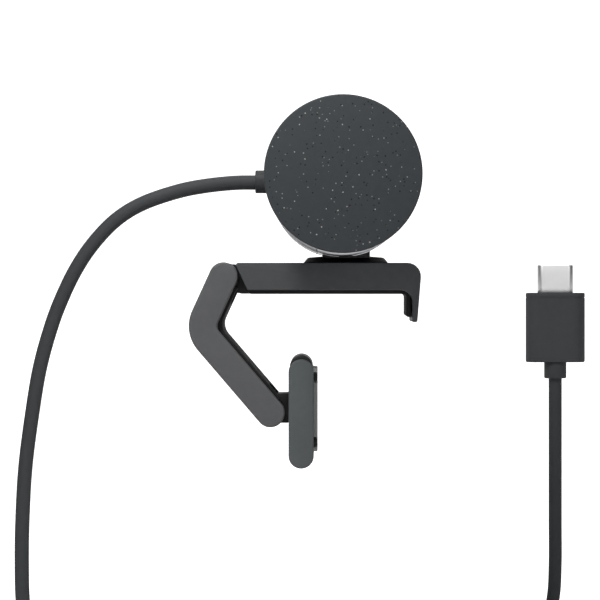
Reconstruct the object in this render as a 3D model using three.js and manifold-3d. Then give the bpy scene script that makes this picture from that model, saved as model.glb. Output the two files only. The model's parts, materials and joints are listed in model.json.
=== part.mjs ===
// A cylindrical webcam on a folding monitor clip, with its captive USB lead.
// Millimetres. +X is the way the lens looks, +Y runs along the barrel, +Z is up.
// The origin is on the underside of the clip, on the swivel axis: the monitor's top edge rests there.
import * as THREE from "three";
import Module from "manifold-3d";
import { mergeVertices } from "three/addons/utils/BufferGeometryUtils.js";

const wasm = await Module();
wasm.setup();

const DEG = Math.PI / 180;
const GAP = 0.3; // clearance between pieces that meet
const CENTRE = [0, 0, 0];
const SIDES = [["near", -1], ["far", 1]];

// Head: a barrel lying along Y
const BARREL_X = -0.9;
const BARREL_Z = 23.9;
const BARREL_RADIUS = 15.75;
const BARREL_HALF = 55;
const SHELL_WALL = 1.2;
const SHELL_INNER = BARREL_RADIUS - SHELL_WALL;
const CAP_THICKNESS = 2.1;
const DIAL_START = 46.5;
const SEAM_ANGLE = 19.5; // the shell seams lie this far to the rear of bottom and top
const SEAM_HALF_GAP = 0.55;
const BEZEL_RADIUS = 9.2;
// The bezel and the window follow the barrel's curve: these are radii from its axis
const BEZEL_CREST = 16;
const BEZEL_SEAT = 14.85;
const WINDOW_OUTER = 15.5;
const WINDOW_INNER = 14.9;
const WINDOW_RADIUS = 6;
const LENS_BORE = 5.2;
const BLADE_INNER = 13.95;
const BLADE_OUTER = 14.3;
const GLAND_RADIUS = 2.45;
const GLAND_END = -18.4;
const GLAND_FLANGE = 13.6;
const MICROPHONE_Y = 34;
const LED_Y = -14;

// Tilt slot, measured round the barrel axis from straight down towards the lens
const TILT_UP = 10;
const TILT_DOWN = 30;
const STEM_HALF = 1.5;
const STEM_ANGLE = 3.3;
const STEM_HALF_ANGLE = 5.5;
const SHOE_HALF_ANGLE = 17;
const SADDLE_RADIUS = BARREL_RADIUS + GAP;

// Clip: a channel with a hooked front lip
const CLIP_HALF_WIDTH = 14;
const CLIP_WALL = 1.5;
const CLIP_INNER = CLIP_HALF_WIDTH - CLIP_WALL;
const BAR_TOP = 6.55;
const BAR_BOTTOM = 0.8;
const BAR_CEILING = 4.5;
const BAR_REAR_TOP = -23.4;
const BAR_REAR_BOTTOM = -20.7;
const HOOK_X = 15.9;
const HOOK_TIP_X = 14.9;
const HOOK_INNER_X = 13.87;
const HOOK_BOTTOM = -5.9;
const HOOK_CORNER = 2.85;
const LINER_TOP = 1.3;
const LINER_HOOK_X = 12.6;
const LINER_REAR_X = -20.3;
const LINER_CORNER = 0.6;
const SPINDLE_RADIUS = 3.6;
const PUCK_RADIUS = 8.9;
const PUCK_BOTTOM = BAR_TOP + 0.05;
const SADDLE_HALF_X = 5;
const SADDLE_HALF_Y = 12;

// Folding arm and pad, all hinged on lines along Y
const UPPER_PIN = new THREE.Vector2(-25.75, 3.67);
const ELBOW = new THREE.Vector2(-30.85, -7.5);
const LOWER_PIN = new THREE.Vector2(-15.9, -24.95);
const ARM_HALF = 3;
const ELBOW_RADIUS = 7.8;
const LUG_RADIUS = 2.4;
const LUG_HALF_WIDTH = 5.5;
const LUG_SCREW_X = -15;
const SLOT_HALF_WIDTH = 6.2;
const SLOT_RADIUS = 4.6;
const LINING_ROOM = 1; // the arm's lining stops this far from each pin
const HINGE_ROOM = 5.9; // and stays this far from it beside the lug and the knuckle
const PIN_RADIUS = 1;
const PIN_BORE = 1.15;
const PIN_REACH = 12.9; // half length of a hinge pin
const PIN_POCKET = 13.1; // the arm's bores stop here, under its outer skin
const PAD_REAR_X = -12.1;
const PAD_FRONT_X = -6.8;
const PAD_TOP = -13.7;
const PAD_BOTTOM = -36.6;
const PAD_CORE_TOP = -12.85;
const PAD_CORE_BOTTOM = -20;
const PAD_CORE_INSET = 0.25;
const PAD_CORE_HALF = 12;
const PAD_FACE_X = -6;
const PAD_FACE_BOTTOM = -33;
const PAD_FACE_TOP = -15.6;
const GRIP_STRIPS = { lower: -31.1, upper: -17.5 };
const GRIP_HALF = 0.8;
const KNUCKLE_REAR_X = -14.5;
const KNUCKLE_BOTTOM = -27.3;
const KNUCKLE_TOP = -21;

// Lead
const CORD_RADIUS = 1.55;
const FLOOR_Z = -88;
const CORD_FLOOR_Z = FLOOR_Z + CORD_RADIUS;
const COIL_X = -24;
const COIL_Y = 21.6;
const COIL_INNER = 13.6;
const COIL_OUTER = 23.2;
const COIL_BOTTOM = FLOOR_Z + 0.9;
const COIL_TOP = COIL_BOTTOM + 11.6;
const TIE_ANGLE = 120;
const TIE_THICKNESS = 0.6;
const TIE_WIDTH = 9;
const PLUG_X = 49.9;
const PLUG_Y = 80;
const PLUG_SHELL_TIP = 6.7;
const PLUG_TOP = 0.2;
const PLUG_BOTTOM = -16.15;
const PLUG_COLLAR_END = -19.95;
const COLLAR_RADIUS = 2.62;

// Route of the lead from the gland down to the floor and to the coil
const LEAD_POINTS = [
  [-19.7, 0, 23.75],
  [-23.5, 0, 23.7],
  [-29.5, 0, 23.1],
  [-35.7, 0, 21.9],
  [-43.3, 0, 19.3],
  [-49, 0, 15.8],
  [-53.9, 0, 10.7],
  [-57.7, 0, 5],
  [-60.8, 0, -1.5],
  [-63, 0, -7.5],
  [-65.3, 0, -16],
  [-67, 0, -26.3],
  [-68.3, 0, -36.6],
  [-68.9, 0, -46.5],
  [-69.1, 0, -56.5],
  [-68.8, 0, -66.5],
  [-67.2, 0, -75.5],
  [-63.4, 0, -82],
  [-57.6, 0, -85.6],
  [-51, 0, CORD_FLOOR_Z],
  [-44, 0, CORD_FLOOR_Z],
];

// Route of the lead from the coil along the floor and up to the plug
const TAIL_POINTS = [
  [3.2, 22.6, -79],
  [12, 33.3, -83.2],
  [21, 44.4, -86],
  [30, 55.5, CORD_FLOOR_Z],
  [37.5, 64.7, -86],
  [43.3, 71.9, -83.6],
  [47.4, 76.9, -78.6],
  [49.4, 79.4, -71.5],
  [49.9, 80, -63.5],
  [49.9, 80, -54.5],
  [49.9, 80, -45],
  [49.9, 80, -36],
  [49.9, 80, -28],
  [49.9, 80, -20.25],
];

// ---------------------------------------------------------------- materials

function paint(color, roughness, metalness = 0) {
  return new THREE.MeshStandardMaterial({ color, roughness, metalness });
}

const graphite = paint(0x3a3d40, 0.55);
const speckled = paint(0x35383b, 0.6);
const silver = paint(0xb9bcc4, 0.5);
const black = paint(0x141516, 0.5);
const rubber = paint(0x1d1e1f, 0.9);
const armGrey = paint(0x55585a, 0.5);
const padGrey = paint(0x4f5355, 0.55);
const cordGrey = paint(0x3b3d40, 0.65);
const steel = paint(0xb8bbbf, 0.3, 1);
const brass = paint(0xc9a45a, 0.35, 1);
const glass = paint(0x0a0c12, 0.05);
const boardGreen = paint(0x1f5a3a, 0.6);
const chipBlack = paint(0x18191b, 0.45);
const lightPipe = paint(0xe8eef2, 0.3);
const aluminium = paint(0x9da1a6, 0.4, 1);

// ---------------------------------------------------------------- solids

// A closed geometry as a solid that can be cut and joined.
function solidOf(geometry) {
  const bare = geometry.clone();
  bare.deleteAttribute("normal");
  bare.deleteAttribute("uv");
  const merged = mergeVertices(bare, 1e-4);
  const solid = new wasm.Manifold(
    new wasm.Mesh({
      numProp: 3,
      vertProperties: merged.attributes.position.array,
      triVerts: new Uint32Array(merged.index.array),
    }),
  );
  return solid;
}

function geometryOf(solid) {
  const mesh = solid.getMesh();
  const geometry = new THREE.BufferGeometry();
  geometry.setAttribute("position", new THREE.BufferAttribute(new Float32Array(mesh.vertProperties), 3));
  geometry.setIndex(new THREE.BufferAttribute(new Uint32Array(mesh.triVerts), 1));
  geometry.computeVertexNormals();
  return geometry;
}

// The first geometry without the others.
function cut(geometry, ...tools) {
  const rest = tools.reduce((solid, tool) => solid.subtract(solidOf(tool)), solidOf(geometry));
  return geometryOf(rest);
}

function join(...geometries) {
  return geometryOf(geometries.map(solidOf).reduce((sum, next) => sum.add(next)));
}

function block(x0, x1, y0, y1, z0, z1) {
  const box = new THREE.BoxGeometry(x1 - x0, y1 - y0, z1 - z0);
  return box.translate((x0 + x1) / 2, (y0 + y1) / 2, (z0 + z1) / 2);
}

// Turns a geometry made along Y so that it lies along the named axis.
function along(axis, geometry) {
  if (axis === "x") return geometry.rotateZ(-Math.PI / 2);
  if (axis === "z") return geometry.rotateX(Math.PI / 2);
  return geometry;
}

// A round bar along an axis, from one station to another, through a centre.
function rod(axis, radius, from, to, centre = CENTRE, sides = 20) {
  const bar = new THREE.CylinderGeometry(radius, radius, to - from, sides);
  bar.translate(0, (from + to) / 2, 0);
  return along(axis, bar).translate(...centre);
}

// A turned piece: the profile is a list of [radius, station] that rises along the axis.
function turned(axis, profile, centre = CENTRE, sides = 32) {
  const points = profile.map(([radius, station]) => new THREE.Vector2(radius, station));
  return along(axis, new THREE.LatheGeometry(points, sides)).translate(...centre);
}

// A flat ring along an axis.
function ring(axis, inner, outer, from, to, centre = CENTRE, sides = 32) {
  const profile = [
    [inner, from],
    [outer, from],
    [outer, to],
    [inner, to],
    [inner, from],
  ];
  return turned(axis, profile, centre, sides);
}

// A side outline in X and Z, carried along Y.
function sideExtrusion(shape, y0, y1, curveSegments = 8) {
  const body = new THREE.ExtrudeGeometry(shape, {
    depth: y1 - y0,
    bevelEnabled: false,
    curveSegments,
    steps: 1,
  });
  return body.rotateX(Math.PI / 2).translate(0, y1, 0);
}

// A stretch of tube wall round the barrel axis; angles run from straight down towards the lens.
function sector(inner, outer, from, to, y0, y1, steps) {
  const start = (from - 90) * DEG;
  const end = (to - 90) * DEG;
  const shape = new THREE.Shape();
  shape.absarc(0, 0, outer, start, end, false);
  shape.absarc(0, 0, inner, end, start, true);
  return sideExtrusion(shape, y0, y1, steps);
}

function polygon(points) {
  return new THREE.Shape(points.map(([x, z]) => new THREE.Vector2(x, z)));
}

// A round lead through a list of points.
function tube(points, steps) {
  const section = new THREE.Shape();
  section.absarc(0, 0, CORD_RADIUS, 0, 2 * Math.PI, false);
  const path = new THREE.CatmullRomCurve3(points.map((point) => new THREE.Vector3(...point)));
  return new THREE.ExtrudeGeometry(section, {
    steps,
    extrudePath: path,
    bevelEnabled: false,
    curveSegments: 4,
  });
}

function place(group, name, geometry, material) {
  const mesh = new THREE.Mesh(geometry, material);
  mesh.name = name;
  group.add(mesh);
  return mesh;
}

// ---------------------------------------------------------------- clip

// Side outline of the bar with its hooked lip.
function barOutline() {
  const shape = new THREE.Shape();
  shape.moveTo(BAR_REAR_BOTTOM, BAR_BOTTOM);
  shape.lineTo(HOOK_INNER_X - 2.7, BAR_BOTTOM);
  shape.quadraticCurveTo(HOOK_INNER_X, BAR_BOTTOM, HOOK_INNER_X, BAR_BOTTOM - 2.6);
  shape.lineTo(HOOK_INNER_X, HOOK_BOTTOM + 0.4);
  shape.lineTo(HOOK_INNER_X + 0.3, HOOK_BOTTOM);
  shape.lineTo(HOOK_TIP_X - 0.3, HOOK_BOTTOM);
  shape.lineTo(HOOK_TIP_X, HOOK_BOTTOM + 0.4);
  shape.lineTo(HOOK_X, BAR_TOP - HOOK_CORNER);
  shape.quadraticCurveTo(HOOK_X, BAR_TOP, HOOK_X - HOOK_CORNER, BAR_TOP);
  shape.lineTo(BAR_REAR_TOP, BAR_TOP);
  return shape;
}

// Rubber lining under the bar and down the inner face of the lip.
function linerOutline() {
  const shape = new THREE.Shape();
  const back = HOOK_INNER_X - GAP;
  shape.moveTo(LINER_REAR_X, 0);
  shape.lineTo(LINER_HOOK_X - LINER_CORNER, 0);
  shape.quadraticCurveTo(LINER_HOOK_X, 0, LINER_HOOK_X, -LINER_CORNER);
  shape.lineTo(LINER_HOOK_X, -4.4);
  shape.lineTo(back, -5.1);
  shape.lineTo(back, LINER_TOP);
  shape.lineTo(LINER_REAR_X, LINER_TOP);
  return shape;
}

// The hinge lug's web: it fills the gap behind the bar's slanted end and runs forward under its top.
const LUG_WEB = [
  [UPPER_PIN.x, 1.3],
  [-24.2, 0.5],
  [-22.1, 0.05],
  [-20.65, 0.05],
  [-20.65, 1.9],
  [-12, 1.9],
  [-12, 4.2],
  [-22.75, 4.2],
  [-23.6, 6],
  [UPPER_PIN.x, 6],
];

function makeClip(part) {
  const bar = cut(
    sideExtrusion(barOutline(), -CLIP_HALF_WIDTH, CLIP_HALF_WIDTH),
    block(-30, HOOK_INNER_X, -CLIP_INNER, CLIP_INNER, -10, BAR_CEILING),
    rod("z", SPINDLE_RADIUS + GAP, 3, 8),
  );
  place(part, "clip_bar", bar, graphite);

  const linerHalf = CLIP_INNER - GAP;
  place(part, "clip_liner", sideExtrusion(linerOutline(), -linerHalf, linerHalf), rubber);

  const pin = [UPPER_PIN.x, 0, UPPER_PIN.y];
  const lugScrews = { near: [LUG_SCREW_X, -3, 0], far: [LUG_SCREW_X, 3, 0] };
  const screwHoles = Object.values(lugScrews).flatMap((spot) => [
    rod("z", 1.15, 0, 8, spot, 12),
    rod("z", 2.05, 0, 2.75, spot, 12),
  ]);
  const lug = cut(
    join(
      rod("y", LUG_RADIUS, -LUG_HALF_WIDTH, LUG_HALF_WIDTH, pin, 24),
      sideExtrusion(polygon(LUG_WEB), -LUG_HALF_WIDTH, LUG_HALF_WIDTH),
    ),
    rod("y", PIN_BORE, -10, 10, pin),
    ...screwHoles,
  );
  place(part, "clip_hinge_lug", lug, black);
  place(part, "arm_hinge_pin", rod("y", PIN_RADIUS, -PIN_REACH, PIN_REACH, pin, 16), steel);

  for (const [side, sign] of SIDES) {
    const start = sign * (LUG_HALF_WIDTH + 0.35) - 0.15;
    place(part, `arm_washer_${side}`, ring("y", PIN_BORE, 2.2, start, start + 0.3, pin, 16), steel);
    const profile = [
      [0, 1.7],
      [1.8, 1.7],
      [1.8, 2.45],
      [0.9, 2.45],
      [0.9, 4.3],
      [0, 4.3],
    ];
    place(part, `lug_screw_${side}`, turned("z", profile, lugScrews[side], 12), steel);
  }
}

// ---------------------------------------------------------------- swivel mount

function makeMount(part) {
  const barrel = [BARREL_X, 0, BARREL_Z];
  const puck = turned("z", [
    [0, PUCK_BOTTOM],
    [PUCK_RADIUS, PUCK_BOTTOM],
    [PUCK_RADIUS, PUCK_BOTTOM + 0.2],
    [PUCK_RADIUS - 0.8, PUCK_BOTTOM + 1.1],
    [SADDLE_HALF_X, PUCK_BOTTOM + 1.4],
    [0, PUCK_BOTTOM + 1.4],
  ]);
  const saddle = block(-SADDLE_HALF_X, SADDLE_HALF_X, -SADDLE_HALF_Y, SADDLE_HALF_Y, 7.3, 9.4);
  const base = cut(
    join(puck, saddle, rod("z", SPINDLE_RADIUS, 3.1, 7)),
    rod("y", SADDLE_RADIUS, -20, 20, barrel, 60),
    block(-STEM_HALF - GAP, STEM_HALF + GAP, -STEM_HALF - GAP, STEM_HALF + GAP, 4.6, 10),
    rod("z", 1.3, 2, 5, CENTRE, 12),
  );
  place(part, "mount_base", base, black);

  const shoe = sector(
    13.2,
    SHELL_INNER - GAP,
    STEM_ANGLE - SHOE_HALF_ANGLE,
    STEM_ANGLE + SHOE_HALF_ANGLE,
    -9,
    9,
    5,
  ).translate(...barrel);
  const stem = block(-STEM_HALF, STEM_HALF, -STEM_HALF, STEM_HALF, 4.9, 10);
  const stemBore = rod("z", 1.25, 4, 8, CENTRE, 12);
  place(part, "tilt_shoe", cut(join(shoe, stem), stemBore), aluminium);

  const screw = turned("z", [
    [0, 2],
    [2, 2],
    [2, 2.8],
    [1, 2.8],
    [1, 7.6],
    [0, 7.6],
  ], CENTRE, 16);
  place(part, "tilt_screw", screw, steel);
  place(part, "spring_washer", ring("z", SPINDLE_RADIUS + 0.2, 6, 3.95, 4.25, CENTRE, 20), steel);
  place(part, "spindle_circlip", ring("z", SPINDLE_RADIUS + 0.2, 5.2, 3.35, 3.65, CENTRE, 20), steel);
}

// ---------------------------------------------------------------- head

function makeShells(head) {
  const y0 = -BARREL_HALF + CAP_THICKNESS + GAP;
  const y1 = DIAL_START - GAP;
  const seam = SEAM_ANGLE - SEAM_HALF_GAP;
  const rearSeam = SEAM_ANGLE + SEAM_HALF_GAP;
  const front = cut(
    sector(SHELL_INNER, BARREL_RADIUS, -seam, 180 + seam, y0, y1, 22),
    rod("x", BEZEL_RADIUS + GAP, 5, 20, CENTRE, 32),
    sector(
      13,
      18,
      STEM_ANGLE - STEM_HALF_ANGLE - TILT_UP - 1,
      STEM_ANGLE + STEM_HALF_ANGLE + TILT_DOWN + 1,
      -STEM_HALF - GAP,
      STEM_HALF + GAP,
      4,
    ),
    rod("x", 0.9, 5, 20, [0, LED_Y, 0], 12),
  );
  place(head, "front_shell", front, silver);
  const rear = cut(
    sector(SHELL_INNER, BARREL_RADIUS, 180 + rearSeam, 360 - rearSeam, y0, y1, 14),
    rod("x", GLAND_RADIUS + GAP, -20, -5),
  );
  place(head, "rear_shell", rear, silver);

  const cap = turned("y", [
    [0, -BARREL_HALF],
    [BARREL_RADIUS - 0.25, -BARREL_HALF],
    [BARREL_RADIUS, -BARREL_HALF + 0.25],
    [BARREL_RADIUS, -BARREL_HALF + CAP_THICKNESS],
    [SHELL_INNER - GAP, -BARREL_HALF + CAP_THICKNESS],
    [SHELL_INNER - GAP, -50.4],
    [SHELL_INNER - 1.7, -50.4],
    [SHELL_INNER - 1.7, -BARREL_HALF + CAP_THICKNESS],
    [0, -BARREL_HALF + CAP_THICKNESS],
  ], CENTRE, 44);
  place(head, "end_cap", cap, speckled);
}

// A round plug through the barrel's front, cut to lie between two radii from the barrel's axis.
function curvedDisc(radius, inner, outer) {
  return cut(
    rod("x", radius, 5, outer + 2, CENTRE, 32),
    rod("y", inner, -20, 20, CENTRE, 60),
    ring("y", outer, outer + 10, -20, 20, CENTRE, 60),
  );
}

function makeOptics(head) {
  const bezel = cut(
    curvedDisc(BEZEL_RADIUS, SHELL_INNER + 0.07, BEZEL_CREST),
    rod("x", LENS_BORE, 5, 20, CENTRE, 32),
    curvedDisc(WINDOW_RADIUS + GAP, BEZEL_SEAT, BEZEL_CREST + 2),
  );
  place(head, "lens_bezel", bezel, black);
  place(head, "lens_window", curvedDisc(WINDOW_RADIUS, WINDOW_INNER, WINDOW_OUTER), glass);

  const barrel = turned("x", [
    [3.3, 3.5],
    [6, 3.5],
    [6, 5],
    [4.6, 5],
    [4.6, 12.6],
    [3.3, 12.6],
    [3.3, 3.5],
  ], CENTRE, 24);
  place(head, "lens_barrel", barrel, black);
  const element = turned("x", [
    [0, 10.4],
    [3, 10.4],
    [3, 11.8],
    [2, 12.4],
    [1, 12.75],
    [0, 12.85],
  ], CENTRE, 20);
  place(head, "lens_element", element, glass);
  place(head, "image_sensor", block(2.4, 3.2, -3.5, 3.5, -3.5, 3.5), chipBlack);
  place(head, "sensor_board", block(1, 2.1, -10, 10, -8, 8), boardGreen);
}

// Where the four board screws go, as [y, z].
const BOARD_SCREWS = {
  near_lower: [-40, -7],
  near_upper: [-40, 7],
  far_lower: [34, -7],
  far_upper: [34, 7],
};

function makeElectronics(head) {
  const channel = polygon([
    [-7.2, -10.6],
    [-1, -10.6],
    [-1, -9.8],
    [-6, -9.8],
    [-6, 9.8],
    [-1, 9.8],
    [-1, 10.6],
    [-7.2, 10.6],
  ]);
  const spots = Object.values(BOARD_SCREWS);
  const chassisHoles = spots.map(([y, z]) => rod("x", 1, -8, -5, [0, y, z], 10));
  place(head, "chassis", cut(sideExtrusion(channel, -50, 44), ...chassisHoles), aluminium);
  const boardHoles = spots.map(([y, z]) => rod("x", 1, -6, -1, [0, y, z], 10));
  place(head, "main_board", cut(block(-5.2, -4, -44, 38, -9.4, 9.4), ...boardHoles), boardGreen);
  place(head, "video_chip", block(-3.7, -2.5, -6, 6, -5, 5), chipBlack);
  place(head, "memory_chip", block(-3.7, -2.7, 12, 21, -4, 4), chipBlack);
  place(head, "cord_connector", block(-3.7, -1.2, -28, -20, -3, 3), lightPipe);
  for (const [corner, [y, z]] of Object.entries(BOARD_SCREWS)) {
    const profile = [
      [0, -7],
      [0.75, -7],
      [0.75, -3.7],
      [1.5, -3.7],
      [1.5, -2.9],
      [0, -2.9],
    ];
    place(head, `board_screw_${corner}`, turned("x", profile, [0, y, z], 10), steel);
  }
  for (const [side, sign] of SIDES) {
    const y = sign * MICROPHONE_Y;
    place(head, `microphone_${side}`, block(12, 13.2, y - 2, y + 2, -1.5, 1.5), brass);
  }
  place(head, "status_led", block(10.4, 11.5, LED_Y - 1, LED_Y + 1, -1, 1), chipBlack);
  place(head, "light_pipe", rod("x", 0.65, 11.8, 15.8, [0, LED_Y, 0], 12), lightPipe);

  const gland = turned("x", [
    [0, GLAND_END],
    [GLAND_RADIUS, GLAND_END],
    [GLAND_RADIUS, -GLAND_FLANGE],
    [3.6, -GLAND_FLANGE],
    [3.6, -GLAND_FLANGE + 1.2],
    [0, -GLAND_FLANGE + 1.2],
  ], CENTRE, 24);
  place(head, "cord_gland", cut(gland, rod("x", CORD_RADIUS, -GLAND_FLANGE, -10, CENTRE, 16)), graphite);
}

function makeShutterDial(head) {
  const dialEnd = BARREL_HALF - CAP_THICKNESS - GAP;
  const dial = ring("y", SHELL_INNER, BARREL_RADIUS, DIAL_START, dialEnd, CENTRE, 40);
  place(head, "dial_ring", dial, graphite);
  const cap = turned("y", [
    [0, BARREL_HALF - CAP_THICKNESS],
    [SHELL_INNER - 1.7, BARREL_HALF - CAP_THICKNESS],
    [SHELL_INNER - 1.7, 50.4],
    [SHELL_INNER - GAP, 50.4],
    [SHELL_INNER - GAP, BARREL_HALF - CAP_THICKNESS],
    [BARREL_RADIUS, BARREL_HALF - CAP_THICKNESS],
    [BARREL_RADIUS, BARREL_HALF - 0.25],
    [BARREL_RADIUS - 0.25, BARREL_HALF],
    [0, BARREL_HALF],
  ], CENTRE, 44);
  place(head, "dial_cap", cap, speckled);
  const blade = join(
    sector(BLADE_INNER, BLADE_OUTER, 113, 157, -10, 10, 6),
    sector(BLADE_INNER, BLADE_OUTER, 127, 143, 9, 49, 2),
  );
  place(head, "shutter_blade", blade, black);
}

// ---------------------------------------------------------------- arm

// The two straight runs of the arm, and how to step sideways from them.
const upperRun = ELBOW.clone().sub(UPPER_PIN).normalize();
const lowerRun = LOWER_PIN.clone().sub(ELBOW).normalize();
const upperInner = new THREE.Vector2(-upperRun.y, upperRun.x);
const lowerInner = new THREE.Vector2(-lowerRun.y, lowerRun.x);
const bisector = upperInner.clone().add(lowerInner).normalize();
const cornerReach = 1 / bisector.dot(upperInner);

function stepFrom(point, direction, distance) {
  return point.clone().addScaledVector(direction, distance);
}

// A boomerang with a boss at each end and a broad round elbow.
function armOutline() {
  const shape = new THREE.Shape();
  const upperAngle = upperInner.angle();
  const lowerAngle = lowerInner.angle();
  const centre = stepFrom(ELBOW, bisector, (ELBOW_RADIUS - ARM_HALF) * cornerReach);
  const inside = stepFrom(ELBOW, bisector, ARM_HALF * cornerReach);
  const softStart = stepFrom(inside, upperRun, -0.8);
  const softEnd = stepFrom(inside, lowerRun, 0.8);
  shape.moveTo(softStart.x, softStart.y);
  shape.absarc(UPPER_PIN.x, UPPER_PIN.y, ARM_HALF, upperAngle, upperAngle + Math.PI, false);
  shape.absarc(centre.x, centre.y, ELBOW_RADIUS, upperAngle + Math.PI, lowerAngle + Math.PI, false);
  shape.absarc(LOWER_PIN.x, LOWER_PIN.y, ARM_HALF, lowerAngle + Math.PI, lowerAngle + 2 * Math.PI, false);
  shape.lineTo(softEnd.x, softEnd.y);
  shape.quadraticCurveTo(inside.x, inside.y, softStart.x, softStart.y);
  return shape;
}

// A bent strip that follows the inner side of the arm between two depths from its middle line.
function innerStrip(from, to, endRoom) {
  const corners = [from, to].map((depth) => stepFrom(ELBOW, bisector, depth * cornerReach));
  const start = stepFrom(UPPER_PIN, upperRun, endRoom);
  const end = stepFrom(LOWER_PIN, lowerRun, -endRoom);
  const starts = [from, to].map((depth) => stepFrom(start, upperInner, depth));
  const ends = [from, to].map((depth) => stepFrom(end, lowerInner, depth));
  return new THREE.Shape([starts[0], corners[0], ends[0], ends[1], corners[1], starts[1]]);
}

function makeArm(part) {
  const pins = [UPPER_PIN, LOWER_PIN].map((pin) => [pin.x, 0, pin.y]);
  const tools = pins.flatMap((pin) => [
    rod("y", SLOT_RADIUS, -SLOT_HALF_WIDTH, SLOT_HALF_WIDTH, pin, 24),
    rod("y", PIN_BORE, -PIN_POCKET, PIN_POCKET, pin, 16),
  ]);
  tools.push(sideExtrusion(innerStrip(2, 5, LINING_ROOM - GAP), -CLIP_INNER, CLIP_INNER));
  const shell = cut(sideExtrusion(armOutline(), -CLIP_HALF_WIDTH, CLIP_HALF_WIDTH, 8), ...tools);
  place(part, "arm_shell", shell, armGrey);
  const linerHalf = CLIP_INNER - GAP;
  const hingeRooms = pins.map((pin) => rod("y", HINGE_ROOM, -SLOT_HALF_WIDTH, SLOT_HALF_WIDTH, pin, 24));
  const lining = sideExtrusion(innerStrip(2.3, 3.6, LINING_ROOM), -linerHalf, linerHalf);
  place(part, "arm_liner", cut(lining, ...hingeRooms), rubber);
  place(part, "pad_hinge_pin", rod("y", PIN_RADIUS, -PIN_REACH, PIN_REACH, pins[1], 16), steel);
}

// ---------------------------------------------------------------- pad

// A tall slab with round ends.
function padOutline(x0, x1, z0, z1) {
  const radius = (x1 - x0) / 2;
  const middle = (x0 + x1) / 2;
  const shape = new THREE.Shape();
  shape.absarc(middle, z1 - radius, radius, 0, Math.PI, false);
  shape.absarc(middle, z0 + radius, radius, Math.PI, 2 * Math.PI, false);
  return shape;
}

function makePad(part) {
  const pin = [LOWER_PIN.x, 0, LOWER_PIN.y];
  const lugFront = PAD_REAR_X - GAP;
  const lug = cut(
    join(
      rod("y", LUG_RADIUS, -LUG_HALF_WIDTH, LUG_HALF_WIDTH, pin, 24),
      block(LOWER_PIN.x, lugFront, -LUG_HALF_WIDTH, LUG_HALF_WIDTH, LOWER_PIN.y - 2, LOWER_PIN.y + 2),
      block(KNUCKLE_REAR_X, lugFront, -LUG_HALF_WIDTH, LUG_HALF_WIDTH, KNUCKLE_BOTTOM, KNUCKLE_TOP),
    ),
    rod("y", PIN_BORE, -10, 10, pin, 16),
  );
  place(part, "pad_knuckle", lug, black);

  const outline = padOutline(PAD_REAR_X, PAD_FRONT_X, PAD_BOTTOM, PAD_TOP);
  const slab = sideExtrusion(outline, -CLIP_HALF_WIDTH, CLIP_HALF_WIDTH);
  const recess = [PAD_FACE_BOTTOM - GAP, PAD_FACE_TOP + GAP];
  const faceRoom = block(PAD_FRONT_X - 1, 0, -CLIP_INNER, CLIP_INNER, ...recess);
  const coreRoomHalf = PAD_CORE_HALF + GAP;
  const coreRoom = block(-20, 0, -coreRoomHalf, coreRoomHalf, PAD_CORE_BOTTOM - GAP, 0);
  place(part, "pad_shell", cut(slab, faceRoom, coreRoom), padGrey);

  const rear = PAD_REAR_X + PAD_CORE_INSET;
  const front = PAD_FRONT_X - PAD_CORE_INSET;
  const core = cut(
    sideExtrusion(padOutline(rear, front, PAD_BOTTOM, PAD_CORE_TOP), -PAD_CORE_HALF, PAD_CORE_HALF),
    block(-20, 0, -20, 20, PAD_BOTTOM - 1, PAD_CORE_BOTTOM),
    faceRoom,
  );
  place(part, "pad_core", core, black);

  const half = CLIP_INNER - GAP;
  const strips = Object.entries(GRIP_STRIPS);
  const slotHalf = GRIP_HALF + GAP;
  const slots = strips.map(([, z]) => block(-7.2, 0, -half - 1, half + 1, z - slotHalf, z + slotHalf));
  const face = block(PAD_FRONT_X - 0.7, PAD_FACE_X, -half, half, PAD_FACE_BOTTOM, PAD_FACE_TOP);
  place(part, "pad_face", cut(face, ...slots), rubber);
  for (const [end, z] of strips) {
    const strip = block(-6.9, PAD_FACE_X, -half, half, z - GRIP_HALF, z + GRIP_HALF);
    place(part, `grip_strip_${end}`, strip, black);
  }
  for (const [side, sign] of SIDES) {
    const start = sign * (LUG_HALF_WIDTH + 0.35) - 0.15;
    place(part, `pad_washer_${side}`, ring("y", PIN_BORE, 2.2, start, start + 0.3, pin, 16), steel);
  }
}

// ---------------------------------------------------------------- lead and plug

function makeLead(part) {
  place(part, "cord_lead", tube(LEAD_POINTS, 44), cordGrey);
  const coil = ring("z", COIL_INNER, COIL_OUTER, COIL_BOTTOM, COIL_TOP, [COIL_X, COIL_Y, 0], 32);
  place(part, "cord_coil", coil, cordGrey);
  place(part, "cord_tail", tube(TAIL_POINTS, 32), cordGrey);

  const half = TIE_WIDTH / 2;
  const wall = TIE_THICKNESS;
  const high = COIL_TOP + GAP + wall;
  const x0 = Math.sqrt(COIL_INNER ** 2 - half ** 2) - GAP - wall;
  const x1 = COIL_OUTER + GAP + wall;
  const loop = cut(
    block(x0, x1, -half, half, FLOOR_Z, high),
    block(x0 + wall, x1 - wall, -half - 1, half + 1, FLOOR_Z + wall, high - wall),
  );
  loop.rotateZ(TIE_ANGLE * DEG).translate(COIL_X, COIL_Y, 0);
  place(part, "coil_tie", loop, black);
}

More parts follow.
